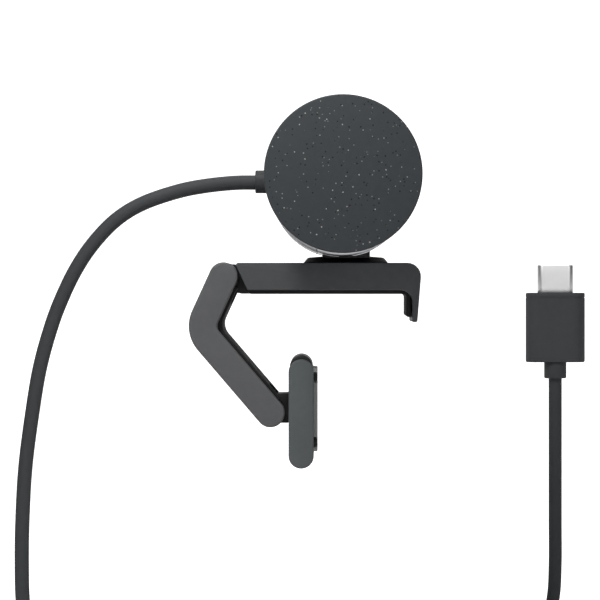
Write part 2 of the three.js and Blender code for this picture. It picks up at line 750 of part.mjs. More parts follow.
// A rectangle with round corners, standing up along Z.
function roundedPost(width, depth, radius, z0, z1) {
  const shape = new THREE.Shape();
  const x = width / 2 - radius;
  const y = depth / 2 - radius;
  shape.absarc(x, y, radius, 0, Math.PI / 2, false);
  shape.absarc(-x, y, radius, Math.PI / 2, Math.PI, false);
  shape.absarc(-x, -y, radius, Math.PI, 1.5 * Math.PI, false);
  shape.absarc(x, -y, radius, 1.5 * Math.PI, 2 * Math.PI, false);
  const post = new THREE.ExtrudeGeometry(shape, { depth: z1 - z0, bevelEnabled: false, curveSegments: 5 });
  return post.translate(PLUG_X, PLUG_Y, z0);
}

function makePlug(part) {
  const collar = turned("z", [
    [0, PLUG_COLLAR_END],
    [COLLAR_RADIUS, PLUG_COLLAR_END],
    [COLLAR_RADIUS, PLUG_BOTTOM - GAP],
    [0, PLUG_BOTTOM - GAP],
  ], [PLUG_X, PLUG_Y, 0], 20);
  place(part, "plug_collar", collar, cordGrey);
  place(part, "plug_overmould", roundedPost(13.9, 6.6, 1.3, PLUG_BOTTOM, PLUG_TOP), graphite);
  const shell = cut(
    roundedPost(8.34, 2.56, 1.27, PLUG_TOP + GAP, PLUG_SHELL_TIP),
    roundedPost(7.7, 1.92, 0.95, PLUG_TOP + 1, PLUG_SHELL_TIP + 1),
  );
  place(part, "plug_shell", shell, steel);
  place(part, "plug_tongue", roundedPost(6.6, 0.7, 0.15, PLUG_TOP + 1.3, PLUG_SHELL_TIP - 0.9), black);
}

// ---------------------------------------------------------------- assembly

const webcam = new THREE.Group();
webcam.name = "webcam_on_clip";
makeClip(webcam);
makeMount(webcam);

const head = new THREE.Group();
head.position.set(BARREL_X, 0, BARREL_Z);
makeShells(head);
makeOptics(head);
makeElectronics(head);
makeShutterDial(head);
webcam.add(head);

makeArm(webcam);
makePad(webcam);
makeLead(webcam);
makePlug(webcam);

export default webcam;
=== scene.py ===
"""A cylindrical webcam on a folding monitor clip, with its captive lead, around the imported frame."""
import json
import math

import bmesh
import bpy
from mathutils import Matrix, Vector


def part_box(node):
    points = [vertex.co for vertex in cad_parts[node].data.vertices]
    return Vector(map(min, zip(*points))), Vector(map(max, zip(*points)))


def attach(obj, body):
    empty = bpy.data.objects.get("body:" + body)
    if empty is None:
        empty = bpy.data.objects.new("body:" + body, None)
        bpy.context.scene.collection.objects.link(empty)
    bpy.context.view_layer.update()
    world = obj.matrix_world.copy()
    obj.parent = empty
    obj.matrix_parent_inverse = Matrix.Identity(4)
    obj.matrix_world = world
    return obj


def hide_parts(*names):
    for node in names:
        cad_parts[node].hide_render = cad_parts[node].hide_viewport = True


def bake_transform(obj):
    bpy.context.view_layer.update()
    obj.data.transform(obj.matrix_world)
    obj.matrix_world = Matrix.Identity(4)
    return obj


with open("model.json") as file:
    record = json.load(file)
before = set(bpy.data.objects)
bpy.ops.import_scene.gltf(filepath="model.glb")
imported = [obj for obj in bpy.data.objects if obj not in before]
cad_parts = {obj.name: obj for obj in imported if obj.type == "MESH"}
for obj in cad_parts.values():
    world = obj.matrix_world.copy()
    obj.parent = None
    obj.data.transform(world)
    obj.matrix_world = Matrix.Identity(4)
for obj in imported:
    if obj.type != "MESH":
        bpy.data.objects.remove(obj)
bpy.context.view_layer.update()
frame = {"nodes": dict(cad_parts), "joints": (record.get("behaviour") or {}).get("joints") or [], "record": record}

# ------------------------------------------------------------ sizes, in millimetres

MM = 0.001
JOINTS = {joint["name"]: joint for joint in frame["joints"]}


def joint_spot(name):
    """A joint's place in millimetres."""
    return Vector(JOINTS[name]["pos_m"]) / MM


def node_box(name):
    """A CAD node's lowest and highest corner in millimetres."""
    low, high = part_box(name)
    return low / MM, high / MM


BARREL = joint_spot("head_tilt")
CAP_LOW, CAP_HIGH = node_box("end_cap")
DIAL_LOW, DIAL_HIGH = node_box("dial_ring")
FAR_FACE = node_box("dial_cap")[1].y
BARREL_RADIUS = (CAP_HIGH.x - CAP_LOW.x) / 2
SHELL_LOW, SHELL_HIGH = node_box("front_shell")
SHELL_WALL = 1.2
SHELL_INNER = BARREL_RADIUS - SHELL_WALL
SHELL_GAP_ANGLE = 0.42
CAP_THICKNESS = 2.1
SEAM_ANGLE = 19.5
CRADLE_RADIUS = BARREL_RADIUS + 0.3
UPPER_PIN = joint_spot("arm_fold")
LOWER_PIN = joint_spot("pad_tip")
PIN_RADIUS = 1
PIN_REACH = 12.9
PIN_BORE = 1.15
LUG_HALF = 5.5
LUG_RADIUS = 2.4
BAR_LOW, BAR_HIGH = node_box("clip_bar")
CLIP_HALF = BAR_HIGH.y
CLIP_INNER = CLIP_HALF - 1.5
LINER_HALF = node_box("clip_liner")[1].y
FLOOR_Z = node_box("coil_tie")[0].z
OVERMOULD_LOW, OVERMOULD_HIGH = node_box("plug_overmould")
PLUG_X = (OVERMOULD_LOW.x + OVERMOULD_HIGH.x) / 2
PLUG_Y = (OVERMOULD_LOW.y + OVERMOULD_HIGH.y) / 2
SHELL_TIP = node_box("plug_shell")[1].z

# ------------------------------------------------------------ camera

CAMERA_DISTANCE = 0.766
CAMERA_X = -0.0055
CAMERA_Z = 0.00084
CAMERA_LENS = 215.5
CAMERA_SHIFT_X = -1 / 30
CAMERA_SHIFT_Y = -1 / 60


def make_camera():
    """A long lens, level, looking along the barrel at its near end."""
    data = bpy.data.cameras.new("camera")
    data.lens = CAMERA_LENS
    data.sensor_width = 36
    data.shift_x = CAMERA_SHIFT_X
    data.shift_y = CAMERA_SHIFT_Y
    data.clip_start = 0.05
    data.clip_end = 20
    camera = bpy.data.objects.new("camera", data)
    camera.location = (CAMERA_X, -CAMERA_DISTANCE, CAMERA_Z)
    camera.rotation_euler = (math.pi / 2, 0, 0)
    bpy.context.scene.collection.objects.link(camera)
    bpy.context.scene.camera = camera


make_camera()

# ------------------------------------------------------------ modelling helpers


def only(piece):
    """Makes one object the only selected and the active one."""
    bpy.ops.object.select_all(action="DESELECT")
    piece.select_set(True)
    bpy.context.view_layer.objects.active = piece
    return piece


def new_piece(name):
    """Takes the object that a primitive operator has just added."""
    piece = bpy.context.active_object
    piece.name = name
    piece.data.name = name
    return only(piece)


def edit(piece, kind="FACE"):
    """Goes into edit mode with nothing selected."""
    only(piece)
    bpy.ops.object.mode_set(mode="EDIT")
    bpy.ops.mesh.select_mode(type=kind)
    bpy.ops.mesh.select_all(action="DESELECT")
    return bmesh.from_edit_mesh(piece.data)


def leave():
    """Goes back to object mode."""
    bpy.ops.object.mode_set(mode="OBJECT")


def select_where(piece, mesh, items, test):
    """Selects the faces, edges or vertices that pass a test, in edit mode."""
    for item in items:
        item.select_set(test(item))
    mesh.select_flush_mode()
    bmesh.update_edit_mesh(piece.data)


def face_outwards(piece, weld=1e-7):
    """Merges doubled points and turns every face outwards."""
    edit(piece, "VERT")
    bpy.ops.mesh.select_all(action="SELECT")
    bpy.ops.mesh.remove_doubles(threshold=weld)
    bpy.ops.mesh.normals_make_consistent(inside=False)
    leave()


def set_down(piece, location=(0, 0, 0), rotation=(0, 0, 0)):
    """Moves and turns an object, given in millimetres and radians, and puts its place into its mesh."""
    only(piece)
    piece.location = Vector(location) * MM
    piece.rotation_euler = rotation
    bpy.ops.object.transform_apply(location=True, rotation=True, scale=True)
    return piece


def pull(dz, scale):
    """Extrudes the selected ring or face along Z and resizes it."""
    bpy.ops.mesh.extrude_region_move(TRANSFORM_OT_translate={"value": (0, 0, dz * MM)})
    if abs(scale - 1) > 1e-9:
        bpy.ops.transform.resize(value=(scale, scale, 1))


AXIS_TURN = {"X": (0, math.pi / 2, 0), "Y": (-math.pi / 2, 0, 0), "Z": (0, 0, 0)}


def turned(name, profile, axis="Y", centre=(0, 0, 0), sides=96):
    """A round piece pulled ring by ring; the profile is a list of (radius, station) along its axis.

    A profile that starts on the axis makes a solid piece, and any other closes on itself as a ring.
    """
    solid = profile[0][0] == 0
    rings = list(profile[1:]) if solid else list(profile)
    pointed = solid and rings[-1][0] == 0 and rings[-1][1] != rings[-2][1]
    if solid and rings[-1][0] == 0:
        rings.pop()
    radius, station = rings[0]
    bpy.ops.mesh.primitive_circle_add(
        vertices=sides,
        radius=radius * MM,
        fill_type="NGON" if solid else "NOTHING",
        location=(0, 0, station * MM),
    )
    piece = new_piece(name)
    bpy.ops.object.transform_apply(location=True)
    edit(piece, "FACE" if solid else "EDGE")
    bpy.ops.mesh.select_all(action="SELECT")
    for next_radius, next_station in rings[1:]:
        pull(next_station - station, next_radius / radius)
        radius, station = next_radius, next_station
    if pointed:
        bpy.ops.mesh.extrude_region_move(
            TRANSFORM_OT_translate={"value": (0, 0, (profile[-1][1] - station) * MM)}
        )
        bpy.ops.mesh.merge(type="CENTER")
    leave()
    face_outwards(piece)
    return set_down(piece, centre, AXIS_TURN[axis])


def rounded(corners, steps=5):
    """An outline whose corners (x, z, radius) are turned into arcs."""
    outline = []
    count = len(corners)
    for i, (x, z, radius) in enumerate(corners):
        here = Vector((x, z))
        if radius == 0:
            outline.append(here)
            continue
        back = (Vector(corners[i - 1][:2]) - here).normalized()
        ahead = (Vector(corners[(i + 1) % count][:2]) - here).normalized()
        half = back.angle(ahead) / 2
        reach = radius / math.tan(half)
        middle = here + (back + ahead).normalized() * (radius / math.sin(half))
        start = here + back * reach - middle
        end = here + ahead * reach - middle
        sweep = start.angle_signed(end)
        for step in range(steps + 1):
            turn = sweep * step / steps
            outline.append(middle + Vector((
                start.x * math.cos(turn) + start.y * math.sin(turn),
                -start.x * math.sin(turn) + start.y * math.cos(turn),
            )))
    return outline


def drawn_line(name, places, scale):
    """A line drawn point by point, left in edit mode with all of it selected."""
    bpy.ops.mesh.primitive_plane_add(size=scale)
    piece = new_piece(name)
    edit(piece, "VERT")
    bpy.ops.mesh.select_all(action="SELECT")
    bpy.ops.mesh.merge(type="CENTER")
    bpy.ops.transform.translate(value=[part * scale for part in places[0]])
    for here, ahead in zip(places, places[1:]):
        step = [(b - a) * scale for a, b in zip(here, ahead)]
        bpy.ops.mesh.extrude_vertices_move(TRANSFORM_OT_translate={"value": step})
    bpy.ops.mesh.select_all(action="SELECT")
    return piece


def side_body(name, outline, low, high):
    """A side outline in X and Z, drawn point by point, filled, and pulled along Y."""
    piece = drawn_line(name, [(x, low, z) for x, z in outline], MM)
    bpy.ops.mesh.edge_face_add()
    bpy.ops.mesh.extrude_region_move(TRANSFORM_OT_translate={"value": (0, (high - low) * MM, 0)})
    leave()
    face_outwards(piece)
    return piece


def slab(name, low, high, bevel=0.0, segments=3):
    """A box between two corners, with its edges bevelled in edit mode."""
    low, high = Vector(low), Vector(high)
    bpy.ops.mesh.primitive_cube_add(size=MM, location=(low + high) / 2 * MM)
    piece = new_piece(name)
    piece.scale = high - low
    bpy.ops.object.transform_apply(location=True, rotation=True, scale=True)
    if bevel:
        edit(piece, "EDGE")
        bpy.ops.mesh.select_all(action="SELECT")
        bpy.ops.mesh.bevel(offset=bevel * MM, segments=segments, affect="EDGES", profile=0.5)
        leave()
    return piece


def drill(axis, radius, low, high, centre, sides=48):
    """A round cutter along an axis."""
    return turned("drill", [(0, low), (radius, low), (radius, high), (0, high)], axis, centre, sides)


def use_modifier(piece, kind, **settings):
    """Adds a modifier and applies it."""
    modifier = piece.modifiers.new(kind.lower(), kind)
    for key, value in settings.items():
        setattr(modifier, key, value)
    only(piece)
    bpy.ops.object.modifier_apply(modifier=modifier.name)
    return piece


def carve(piece, *cutters):
    """Cuts pieces away and throws the cutters out."""
    for cutter in cutters:
        use_modifier(piece, "BOOLEAN", object=cutter, operation="DIFFERENCE", solver="EXACT")
        bpy.data.objects.remove(cutter)
    return piece


def unite(piece, other):
    """Joins another piece to the first and throws it out."""
    use_modifier(piece, "BOOLEAN", object=other, operation="UNION", solver="EXACT")
    bpy.data.objects.remove(other)


def soften(piece, width, segments=3, angle=38):
    """Rounds every edge that is sharper than the angle."""
    return use_modifier(
        piece,
        "BEVEL",
        width=width * MM,
        segments=segments,
        limit_method="ANGLE",
        angle_limit=math.radians(angle),
        use_clamp_overlap=True,
    )


def joined(name, *pieces):
    """One object from several."""
    only(pieces[0])
    for piece in pieces:
        piece.select_set(True)
    bpy.ops.object.join()
    return new_piece(name)


def deliver(piece, body, slot, material, *nodes, angle=35):
    """Smooths a finished piece, paints it, hangs it on its body's empty and hides the CAD nodes that it replaces.
    """
    only(piece)
    bpy.ops.object.shade_smooth_by_angle(angle=math.radians(angle))
    piece.data.materials.clear()
    piece.data.materials.append(material)
    if body:
        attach(piece, body)
    if nodes:
        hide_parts(*nodes)
    return piece


# ------------------------------------------------------------ shader effects


def node_effect(name, inputs, outputs):
    """An empty node group with named inputs (socket kind, default) and outputs (socket kind)."""
    group = bpy.data.node_groups.new(name, "ShaderNodeTree")
    for label, (kind, default) in inputs.items():
        socket = group.interface.new_socket(label, in_out="INPUT", socket_type=kind)
        if default is not None:
            socket.default_value = default
    for label, kind in outputs.items():
        group.interface.new_socket(label, in_out="OUTPUT", socket_type=kind)
    return group, group.nodes.new("NodeGroupInput"), group.nodes.new("NodeGroupOutput")


def add(tree, kind, **settings):
    """Adds a node; a setting sets a property, or an input by its place when its key is in0, in1 and so on."""
    node = tree.nodes.new(kind)
    for key, value in settings.items():
        if key[:2] == "in" and key[2:].isdigit():
            target = node.inputs[int(key[2:])]
            if isinstance(value, bpy.types.NodeSocket):
                tree.links.new(value, target)
            else:
                target.default_value = value
        else:
            setattr(node, key, value)
    return node


def maths(tree, operation, a, b=0.0, clamp=False):
    """The result of one sum on two values or sockets."""
    node = add(tree, "ShaderNodeMath", operation=operation, use_clamp=clamp, in0=a, in1=b)
    return node.outputs[0]


def noise(tree, vector, scale, detail=2.0, roughness=0.5):
    """The value of a noise texture; each setting is a number or a socket."""
    node = add(tree, "ShaderNodeTexNoise")
    tree.links.new(vector, node.inputs["Vector"])
    for label, value in (("Scale", scale), ("Detail", detail), ("Roughness", roughness)):
        if isinstance(value, bpy.types.NodeSocket):
            tree.links.new(value, node.inputs[label])
        else:
            node.inputs[label].default_value = value
    return node.outputs[0]


def make_moulded_grain():
    """Fine spark-eroded texture of moulded plastic, with a slow mottle."""
    group, entry, leaving = node_effect(
        "moulded grain",
        {"Vector": ("NodeSocketVector", None), "Scale": ("NodeSocketFloat", 4000.0)},
        {"Height": "NodeSocketFloat", "Mottle": "NodeSocketFloat"},
    )
    fine = noise(group, entry.outputs["Vector"], entry.outputs["Scale"], 3.0, 0.6)
    slow = noise(group, entry.outputs["Vector"], 90.0, 3.0, 0.55)
    middle = noise(group, entry.outputs["Vector"], 700.0, 2.0, 0.5)
    mottle = maths(group, "MULTIPLY", maths(group, "ADD", slow, middle), 0.5)
    group.links.new(fine, leaving.inputs["Height"])
    group.links.new(mottle, leaving.inputs["Mottle"])
    return group


def make_flecks():
    """Small round flecks scattered through a material, each with its own tint value."""
    group, entry, leaving = node_effect(
        "flecks",
        {
            "Vector": ("NodeSocketVector", None),
            "Cell": ("NodeSocketFloat", 650.0),
            "Size": ("NodeSocketFloat", 0.12),
        },
        {"Mask": "NodeSocketFloat", "Tint": "NodeSocketFloat"},
    )
    cells = add(group, "ShaderNodeTexVoronoi", feature="F1")
    group.links.new(entry.outputs["Vector"], cells.inputs["Vector"])
    group.links.new(entry.outputs["Cell"], cells.inputs["Scale"])
    tint = add(group, "ShaderNodeSeparateColor", in0=cells.outputs["Color"])
    ragged = noise(group, entry.outputs["Vector"], 5200.0, 1.0)
    wobble = maths(group, "MULTIPLY", maths(group, "SUBTRACT", ragged, 0.5), 0.1)
    reach = maths(group, "MULTIPLY", entry.outputs["Size"], maths(group, "ADD", tint.outputs[1], 0.45))
    edge = maths(group, "SUBTRACT", reach, maths(group, "ADD", cells.outputs["Distance"], wobble))
    mask = maths(group, "MULTIPLY", edge, 45.0, clamp=True)
    group.links.new(mask, leaving.inputs["Mask"])
    group.links.new(tint.outputs[0], leaving.inputs["Tint"])
    return group


def make_perforation():
    """A close grid of small holes, wrapped round the barrel's axis."""
    group, entry, leaving = node_effect(
        "perforation",
        {"Vector": ("NodeSocketVector", None), "Pitch": ("NodeSocketFloat", 0.62)},
        {"Mask": "NodeSocketFloat"},
    )
    place = add(group, "ShaderNodeSeparateXYZ", in0=entry.outputs["Vector"])
    across = maths(group, "SUBTRACT", place.outputs[0], BARREL.x * MM)
    up = maths(group, "SUBTRACT", place.outputs[2], BARREL.z * MM)
    round_axis = maths(group, "MULTIPLY", maths(group, "ARCTAN2", across, up), BARREL_RADIUS)
    u = maths(group, "DIVIDE", round_axis, entry.outputs["Pitch"])
    v = maths(group, "DIVIDE", maths(group, "MULTIPLY", place.outputs[1], 1000.0), entry.outputs["Pitch"])
    row_shift = maths(group, "MULTIPLY", maths(group, "MODULO", maths(group, "FLOOR", v), 2.0), 0.5)
    cell_u = maths(group, "SUBTRACT", maths(group, "FRACT", maths(group, "ADD", u, row_shift)), 0.5)
    cell_v = maths(group, "SUBTRACT", maths(group, "FRACT", v), 0.5)
    square_u = maths(group, "MULTIPLY", cell_u, cell_u)
    square_v = maths(group, "MULTIPLY", cell_v, cell_v)
    squares = maths(group, "ADD", square_u, square_v)
    depth = maths(group, "SUBTRACT", 0.3, maths(group, "SQRT", squares))
    group.links.new(maths(group, "MULTIPLY", depth, 8.0, clamp=True), leaving.inputs["Mask"])
    return group


MOULDED_GRAIN = make_moulded_grain()
FLECKS = make_flecks()
PERFORATION = make_perforation()


def effect(tree, group, vector, **values):
    """Places an effect in a material's tree, with its own values."""
    node = tree.nodes.new("ShaderNodeGroup")
    node.node_tree = group
    tree.links.new(vector, node.inputs["Vector"])
    for label, value in values.items():
        node.inputs[label].default_value = value
    return node


def blend_colours(tree, factor, first, second):
    """A mix of two colours, each a socket or plain red, green and blue."""
    node = tree.nodes.new("ShaderNodeMix")
    node.data_type = "RGBA"
    for socket, value in ((node.inputs[0], factor), (node.inputs[6], first), (node.inputs[7], second)):
        if isinstance(value, bpy.types.NodeSocket):
            tree.links.new(value, socket)
        else:
            socket.default_value = value if isinstance(value, float) else (*value, 1)
    return node.outputs[2]


def spread(tree, value, low, high):
    """Maps a value from 0..1 to a range."""
    node = add(tree, "ShaderNodeMapRange", in0=value, in3=low, in4=high)
    return node.outputs[0]


def shade(colour, factor):
    """A colour made lighter or darker."""
    return tuple(part * factor for part in colour)


def new_finish(name):
    """An empty material with its tree, its shader and the place socket that its patterns read."""
    material = bpy.data.materials.new(name)
    material.use_nodes = True
    tree = material.node_tree
    place = tree.nodes.new("ShaderNodeTexCoord").outputs["Object"]
    return material, tree, tree.nodes["Principled BSDF"], place


def open_finish(material):
    """The tree, shader, place socket and body colour of a moulded finish, for a layer on top of it."""
    tree = material.node_tree
    shader = tree.nodes["Principled BSDF"]
    place = tree.nodes["Texture Coordinate"].outputs["Object"]
    return tree, shader, place, shader.inputs["Base Color"].links[0].from_socket


def raise_surface(tree, shader, height, strength, distance=0.0001, **settings):
    """Adds a bump to a shader, on top of the one that it has."""
    relief = add(tree, "ShaderNodeBump", **settings)
    relief.inputs["Strength"].default_value = strength
    relief.inputs["Distance"].default_value = distance
    tree.links.new(height, relief.inputs["Height"])
    normal = shader.inputs["Normal"]
    if normal.links:
        tree.links.new(normal.links[0].from_socket, relief.inputs["Normal"])
    tree.links.new(relief.outputs["Normal"], normal)


def moulded(name, colour, rough=(0.5, 0.62), grain=4000.0, bump=0.12, specular=0.5, variety=0.12):
    """A moulded finish: slow colour mottle, fine grain in roughness and bump."""
    material, tree, shader, place = new_finish(name)
    texture = effect(tree, MOULDED_GRAIN, place, Scale=grain)
    dark, light = shade(colour, 1 - variety), shade(colour, 1 + variety)
    tree.links.new(blend_colours(tree, texture.outputs["Mottle"], dark, light), shader.inputs["Base Color"])
    tree.links.new(spread(tree, texture.outputs["Height"], *rough), shader.inputs["Roughness"])
    raise_surface(tree, shader, texture.outputs["Height"], bump)
    shader.inputs["Specular IOR Level"].default_value = specular
    return material


def metal(name, colour, rough=(0.22, 0.36), stretch=(1, 1, 12), scale=2400.0, edge=0.6):
    """Plated or machined metal with brushing drawn out along one axis."""
    material, tree, shader, place = new_finish(name)
    mapping = add(tree, "ShaderNodeMapping")
    tree.links.new(place, mapping.inputs["Vector"])
    mapping.inputs["Scale"].default_value = tuple(1 / part for part in stretch)
    brushing = noise(tree, mapping.outputs["Vector"], scale, 3.0, 0.6)
    slow = noise(tree, place, 260.0, 2.0)
    body = blend_colours(tree, slow, shade(colour, 0.93), shade(colour, 1.05))
    tree.links.new(body, shader.inputs["Base Color"])
    tree.links.new(spread(tree, brushing, *rough), shader.inputs["Roughness"])
    raise_surface(tree, shader, brushing, 0.05)
    shader.inputs["Metallic"].default_value = 1
    shader.inputs["Specular Tint"].default_value = (edge, edge, edge, 1)
    return material


def make_speckled():
    """Dark matt plastic with pale and black flecks through it."""
    material = moulded(
        "speckled plastic", (0.037, 0.0415, 0.045), rough=(0.52, 0.66), grain=3600.0, specular=0.14
    )
    tree, shader, place, body = open_finish(material)
    dark = effect(tree, FLECKS, place, Cell=880.0, Size=0.142)
    shifted = add(tree, "ShaderNodeMapping")
    tree.links.new(place, shifted.inputs["Vector"])
    shifted.inputs["Location"].default_value = (0.037, 0.011, 0.023)
    pale = effect(tree, FLECKS, shifted.outputs["Vector"], Cell=940.0, Size=0.12)
    with_dark = blend_colours(tree, dark.outputs["Mask"], body, (0.009, 0.009, 0.01))
    mostly_dim = maths(tree, "POWER", pale.outputs["Tint"], 1.7)
    fleck_tint = blend_colours(tree, mostly_dim, (0.12, 0.122, 0.125), (0.37, 0.35, 0.33))
    with_pale = blend_colours(tree, pale.outputs["Mask"], with_dark, fleck_tint)
    tree.links.new(with_pale, shader.inputs["Base Color"])
    return material


def make_perforated():
    """Silver grey wall with a close grid of small dark holes."""
    material = moulded(
        "perforated silver", (0.42, 0.415, 0.43), rough=(0.5, 0.62), specular=0.4, variety=0.04
    )
    tree, shader, place, body = open_finish(material)
    holes = effect(tree, PERFORATION, place).outputs["Mask"]
    tree.links.new(blend_colours(tree, holes, body, (0.09, 0.09, 0.1)), shader.inputs["Base Color"])
    raise_surface(tree, shader, holes, 0.6, 0.0002, invert=True)
    return material


def make_glass(name, colour, coat=0.6, transmission=0.85):
    """Coated optical glass."""
    material = moulded(name, colour, rough=(0.02, 0.04), bump=0.0, variety=0.05)
    shader = material.node_tree.nodes["Principled BSDF"]
    shader.inputs["Transmission Weight"].default_value = transmission
    shader.inputs["IOR"].default_value = 1.5
    shader.inputs["Coat Weight"].default_value = coat
    return material


PAINT = {
    "bar": moulded("bar graphite", (0.054, 0.057, 0.06), grain=3800.0, specular=0.14),
    "gland": moulded("gland graphite", (0.032, 0.034, 0.036), grain=3800.0, specular=0.12),
    "speckled": make_speckled(),
    "silver": moulded(
        "satin silver", (0.46, 0.455, 0.475), rough=(0.42, 0.52), specular=0.5, variety=0.03, bump=0.06
    ),
    "perforated": make_perforated(),
    "black": moulded("black plastic", (0.009, 0.009, 0.0095), rough=(0.45, 0.6), specular=0.3),
    "puck": moulded(
        "puck black", (0.006, 0.006, 0.0065), rough=(0.55, 0.75), grain=2600.0, bump=0.3, specular=0.25
    ),
    "rubber": moulded(
        "lining rubber", (0.012, 0.012, 0.0122), rough=(0.75, 0.92), grain=2600.0, bump=0.35, specular=0.2
    ),
    "arm": moulded("arm grey", (0.083, 0.084, 0.087), grain=3400.0, specular=0.15),
    "pad": moulded("pad grey", (0.073, 0.081, 0.083), grain=3400.0, specular=0.15),
    "pad_face": moulded(
        "pad face grey", (0.22, 0.222, 0.222), rough=(0.7, 0.85), grain=2600.0, bump=0.3, specular=0.3
    ),
    "cord": moulded(
        "lead jacket", (0.04, 0.0425, 0.045), rough=(0.55, 0.7), grain=3000.0, bump=0.2, specular=0.1
    ),
    "plug": moulded("plug graphite", (0.045, 0.047, 0.05), rough=(0.5, 0.64), grain=3400.0, specular=0.1),
    "steel": metal("pin steel", (0.6, 0.6, 0.61)),
    "nickel": metal(
        "plug nickel", (0.93, 0.93, 0.93), rough=(0.3, 0.42), stretch=(1, 1, 14), scale=3000.0, edge=0.08
    ),
    "gold": metal("gold plate", (0.78, 0.56, 0.24), rough=(0.2, 0.32)),
    "cast": metal("cast aluminium", (0.5, 0.52, 0.54), rough=(0.42, 0.58), stretch=(1, 1, 1)),
    "window": make_glass("window glass", (0.3, 0.32, 0.36), transmission=1.0),
    "element": make_glass("lens coating", (0.16, 0.1, 0.3), coat=1.0, transmission=0.4),
    "board": moulded("solder mask", (0.015, 0.09, 0.045), rough=(0.28, 0.4), specular=0.5, variety=0.2),
    "chip": moulded("chip package", (0.014, 0.014, 0.016), rough=(0.42, 0.55)),
    "guide": moulded(
        "light guide", (0.75, 0.8, 0.84), rough=(0.12, 0.22), specular=0.5, variety=0.03, bump=0.02
    ),
}

# ------------------------------------------------------------ lead

CORD_DIAMETER = 3.1
CORD_FLOOR_Z = FLOOR_Z + CORD_DIAMETER / 2
COIL_LOW, COIL_HIGH = node_box("cord_coil")
COIL_X = (COIL_LOW.x + COIL_HIGH.x) / 2
COIL_Y = (COIL_LOW.y + COIL_HIGH.y) / 2
GLAND_LOW, GLAND_HIGH = node_box("cord_gland")

LEAD_POINTS = [
    (-17.6, 0, 23.8),
    (-19.7, 0, 23.75),
    (-23.5, 0, 23.7),
    (-29.5, 0, 23.1),
    (-35.7, 0, 21.9),
    (-43.3, 0, 19.3),
    (-49, 0, 15.8),
    (-53.9, 0, 10.7),
    (-57.7, 0, 5),
    (-60.8, 0, -1.5),
    (-63, 0, -7.5),
    (-65.3, 0, -16),
    (-67, 0, -26.3),
    (-68.3, 0, -36.6),
    (-68.9, 0, -46.5),
    (-69.1, 0, -56.5),
    (-68.8, 0, -66.5),
    (-67.2, 0, -75.5),
    (-63.4, 0, -82),
    (-57.6, 0, -85.6),
    (-51, 0, CORD_FLOOR_Z),
    (-44, 0, CORD_FLOOR_Z),
]

TAIL_POINTS = [
    (-18, -1.9, -77.9),
    (-12, -1.2, -79.8),
    (-6.2, 1.7, -82.4),
    (-1.2, 7.6, -84.7),
    (3.2, 16, -86),
    (7.8, 25.5, CORD_FLOOR_Z),
    (14, 35.8, CORD_FLOOR_Z),
    (21.5, 45.6, CORD_FLOOR_Z),
    (30, 55.5, CORD_FLOOR_Z),
    (37.5, 64.7, -86),
    (43.3, 71.9, -83.6),
    (47.4, 76.9, -78.6),
    (49.4, 79.4, -71.5),
    (49.9, 80, -63.5),
    (49.9, 80, -54.5),
    (49.9, 80, -45),
    (49.9, 80, -36),
    (49.9, 80, -28),
    (49.9, 80, -20.25),
    (49.9, 80, -18.6),
]

# The coil: ten turns in four rows, held by the tie. A row lists its turns in the order that the lead takes,
# each by how far it lies out from the middle radius, and the lead leaves by the last one.
COIL_INNER = 13.6
SLOT_PITCH = 3.2
ROW_PITCH = 2.78
COIL_ROWS = [(1, 0, -1), (-0.5, 0.5), (1, 0, -1), (-0.5, 0.5, 1.5)]
COIL_SLOTS = [(side, row) for row, sides in enumerate(COIL_ROWS) for side in sides]
COIL_ENTRY = math.radians(-90)
TURN_STEPS = 48
SHIFT_SHARE = 0.12


def ease(t):
    """A smooth step from 0 to 1."""
    return t * t * (3 - 2 * t)


def coil_points():
    """The turns of the coil, each moving over to the next slot near its end."""
    points = []
    middle_radius = (COIL_HIGH.x - COIL_X + COIL_INNER) / 2
    base = COIL_LOW.z + CORD_DIAMETER / 2
    turns = len(COIL_SLOTS) - 1
    for step in range(turns * TURN_STEPS + 1):
        turn = min(step // TURN_STEPS, turns - 1)
        share = (step - turn * TURN_STEPS) / TURN_STEPS
        side, row = COIL_SLOTS[turn]
        if share > 1 - SHIFT_SHARE:
            weight = ease((share - 1 + SHIFT_SHARE) / SHIFT_SHARE)
            next_side, next_row = COIL_SLOTS[turn + 1]
            side += (next_side - side) * weight
            row += (next_row - row) * weight
        lift = min(1, step / (0.25 * TURN_STEPS))
        angle = COIL_ENTRY + step / TURN_STEPS * 2 * math.pi
        radius = middle_radius + side * SLOT_PITCH
        height = CORD_FLOOR_Z + (base - CORD_FLOOR_Z) * ease(lift) + row * ROW_PITCH
        points.append((COIL_X + radius * math.cos(angle), COIL_Y + radius * math.sin(angle), height))
    return points


def smooth_path(points, spacing=1.2):
    """A Catmull-Rom curve through the points, sampled about every spacing millimetres."""
    points = [Vector(point) for point in points]
    padded = [points[0] * 2 - points[1], *points, points[-1] * 2 - points[-2]]
    path = []
    for a, b, c, d in zip(padded, padded[1:], padded[2:], padded[3:]):
        steps = max(1, round((c - b).length / spacing))
        for step in range(steps):
            t = step / steps
            path.append(0.5 * (
                2 * b + (c - a) * t + (2 * a - 5 * b + 4 * c - d) * t**2 + (3 * b - a - 3 * c + d) * t**3
            ))
    path.append(points[-1])
    return path


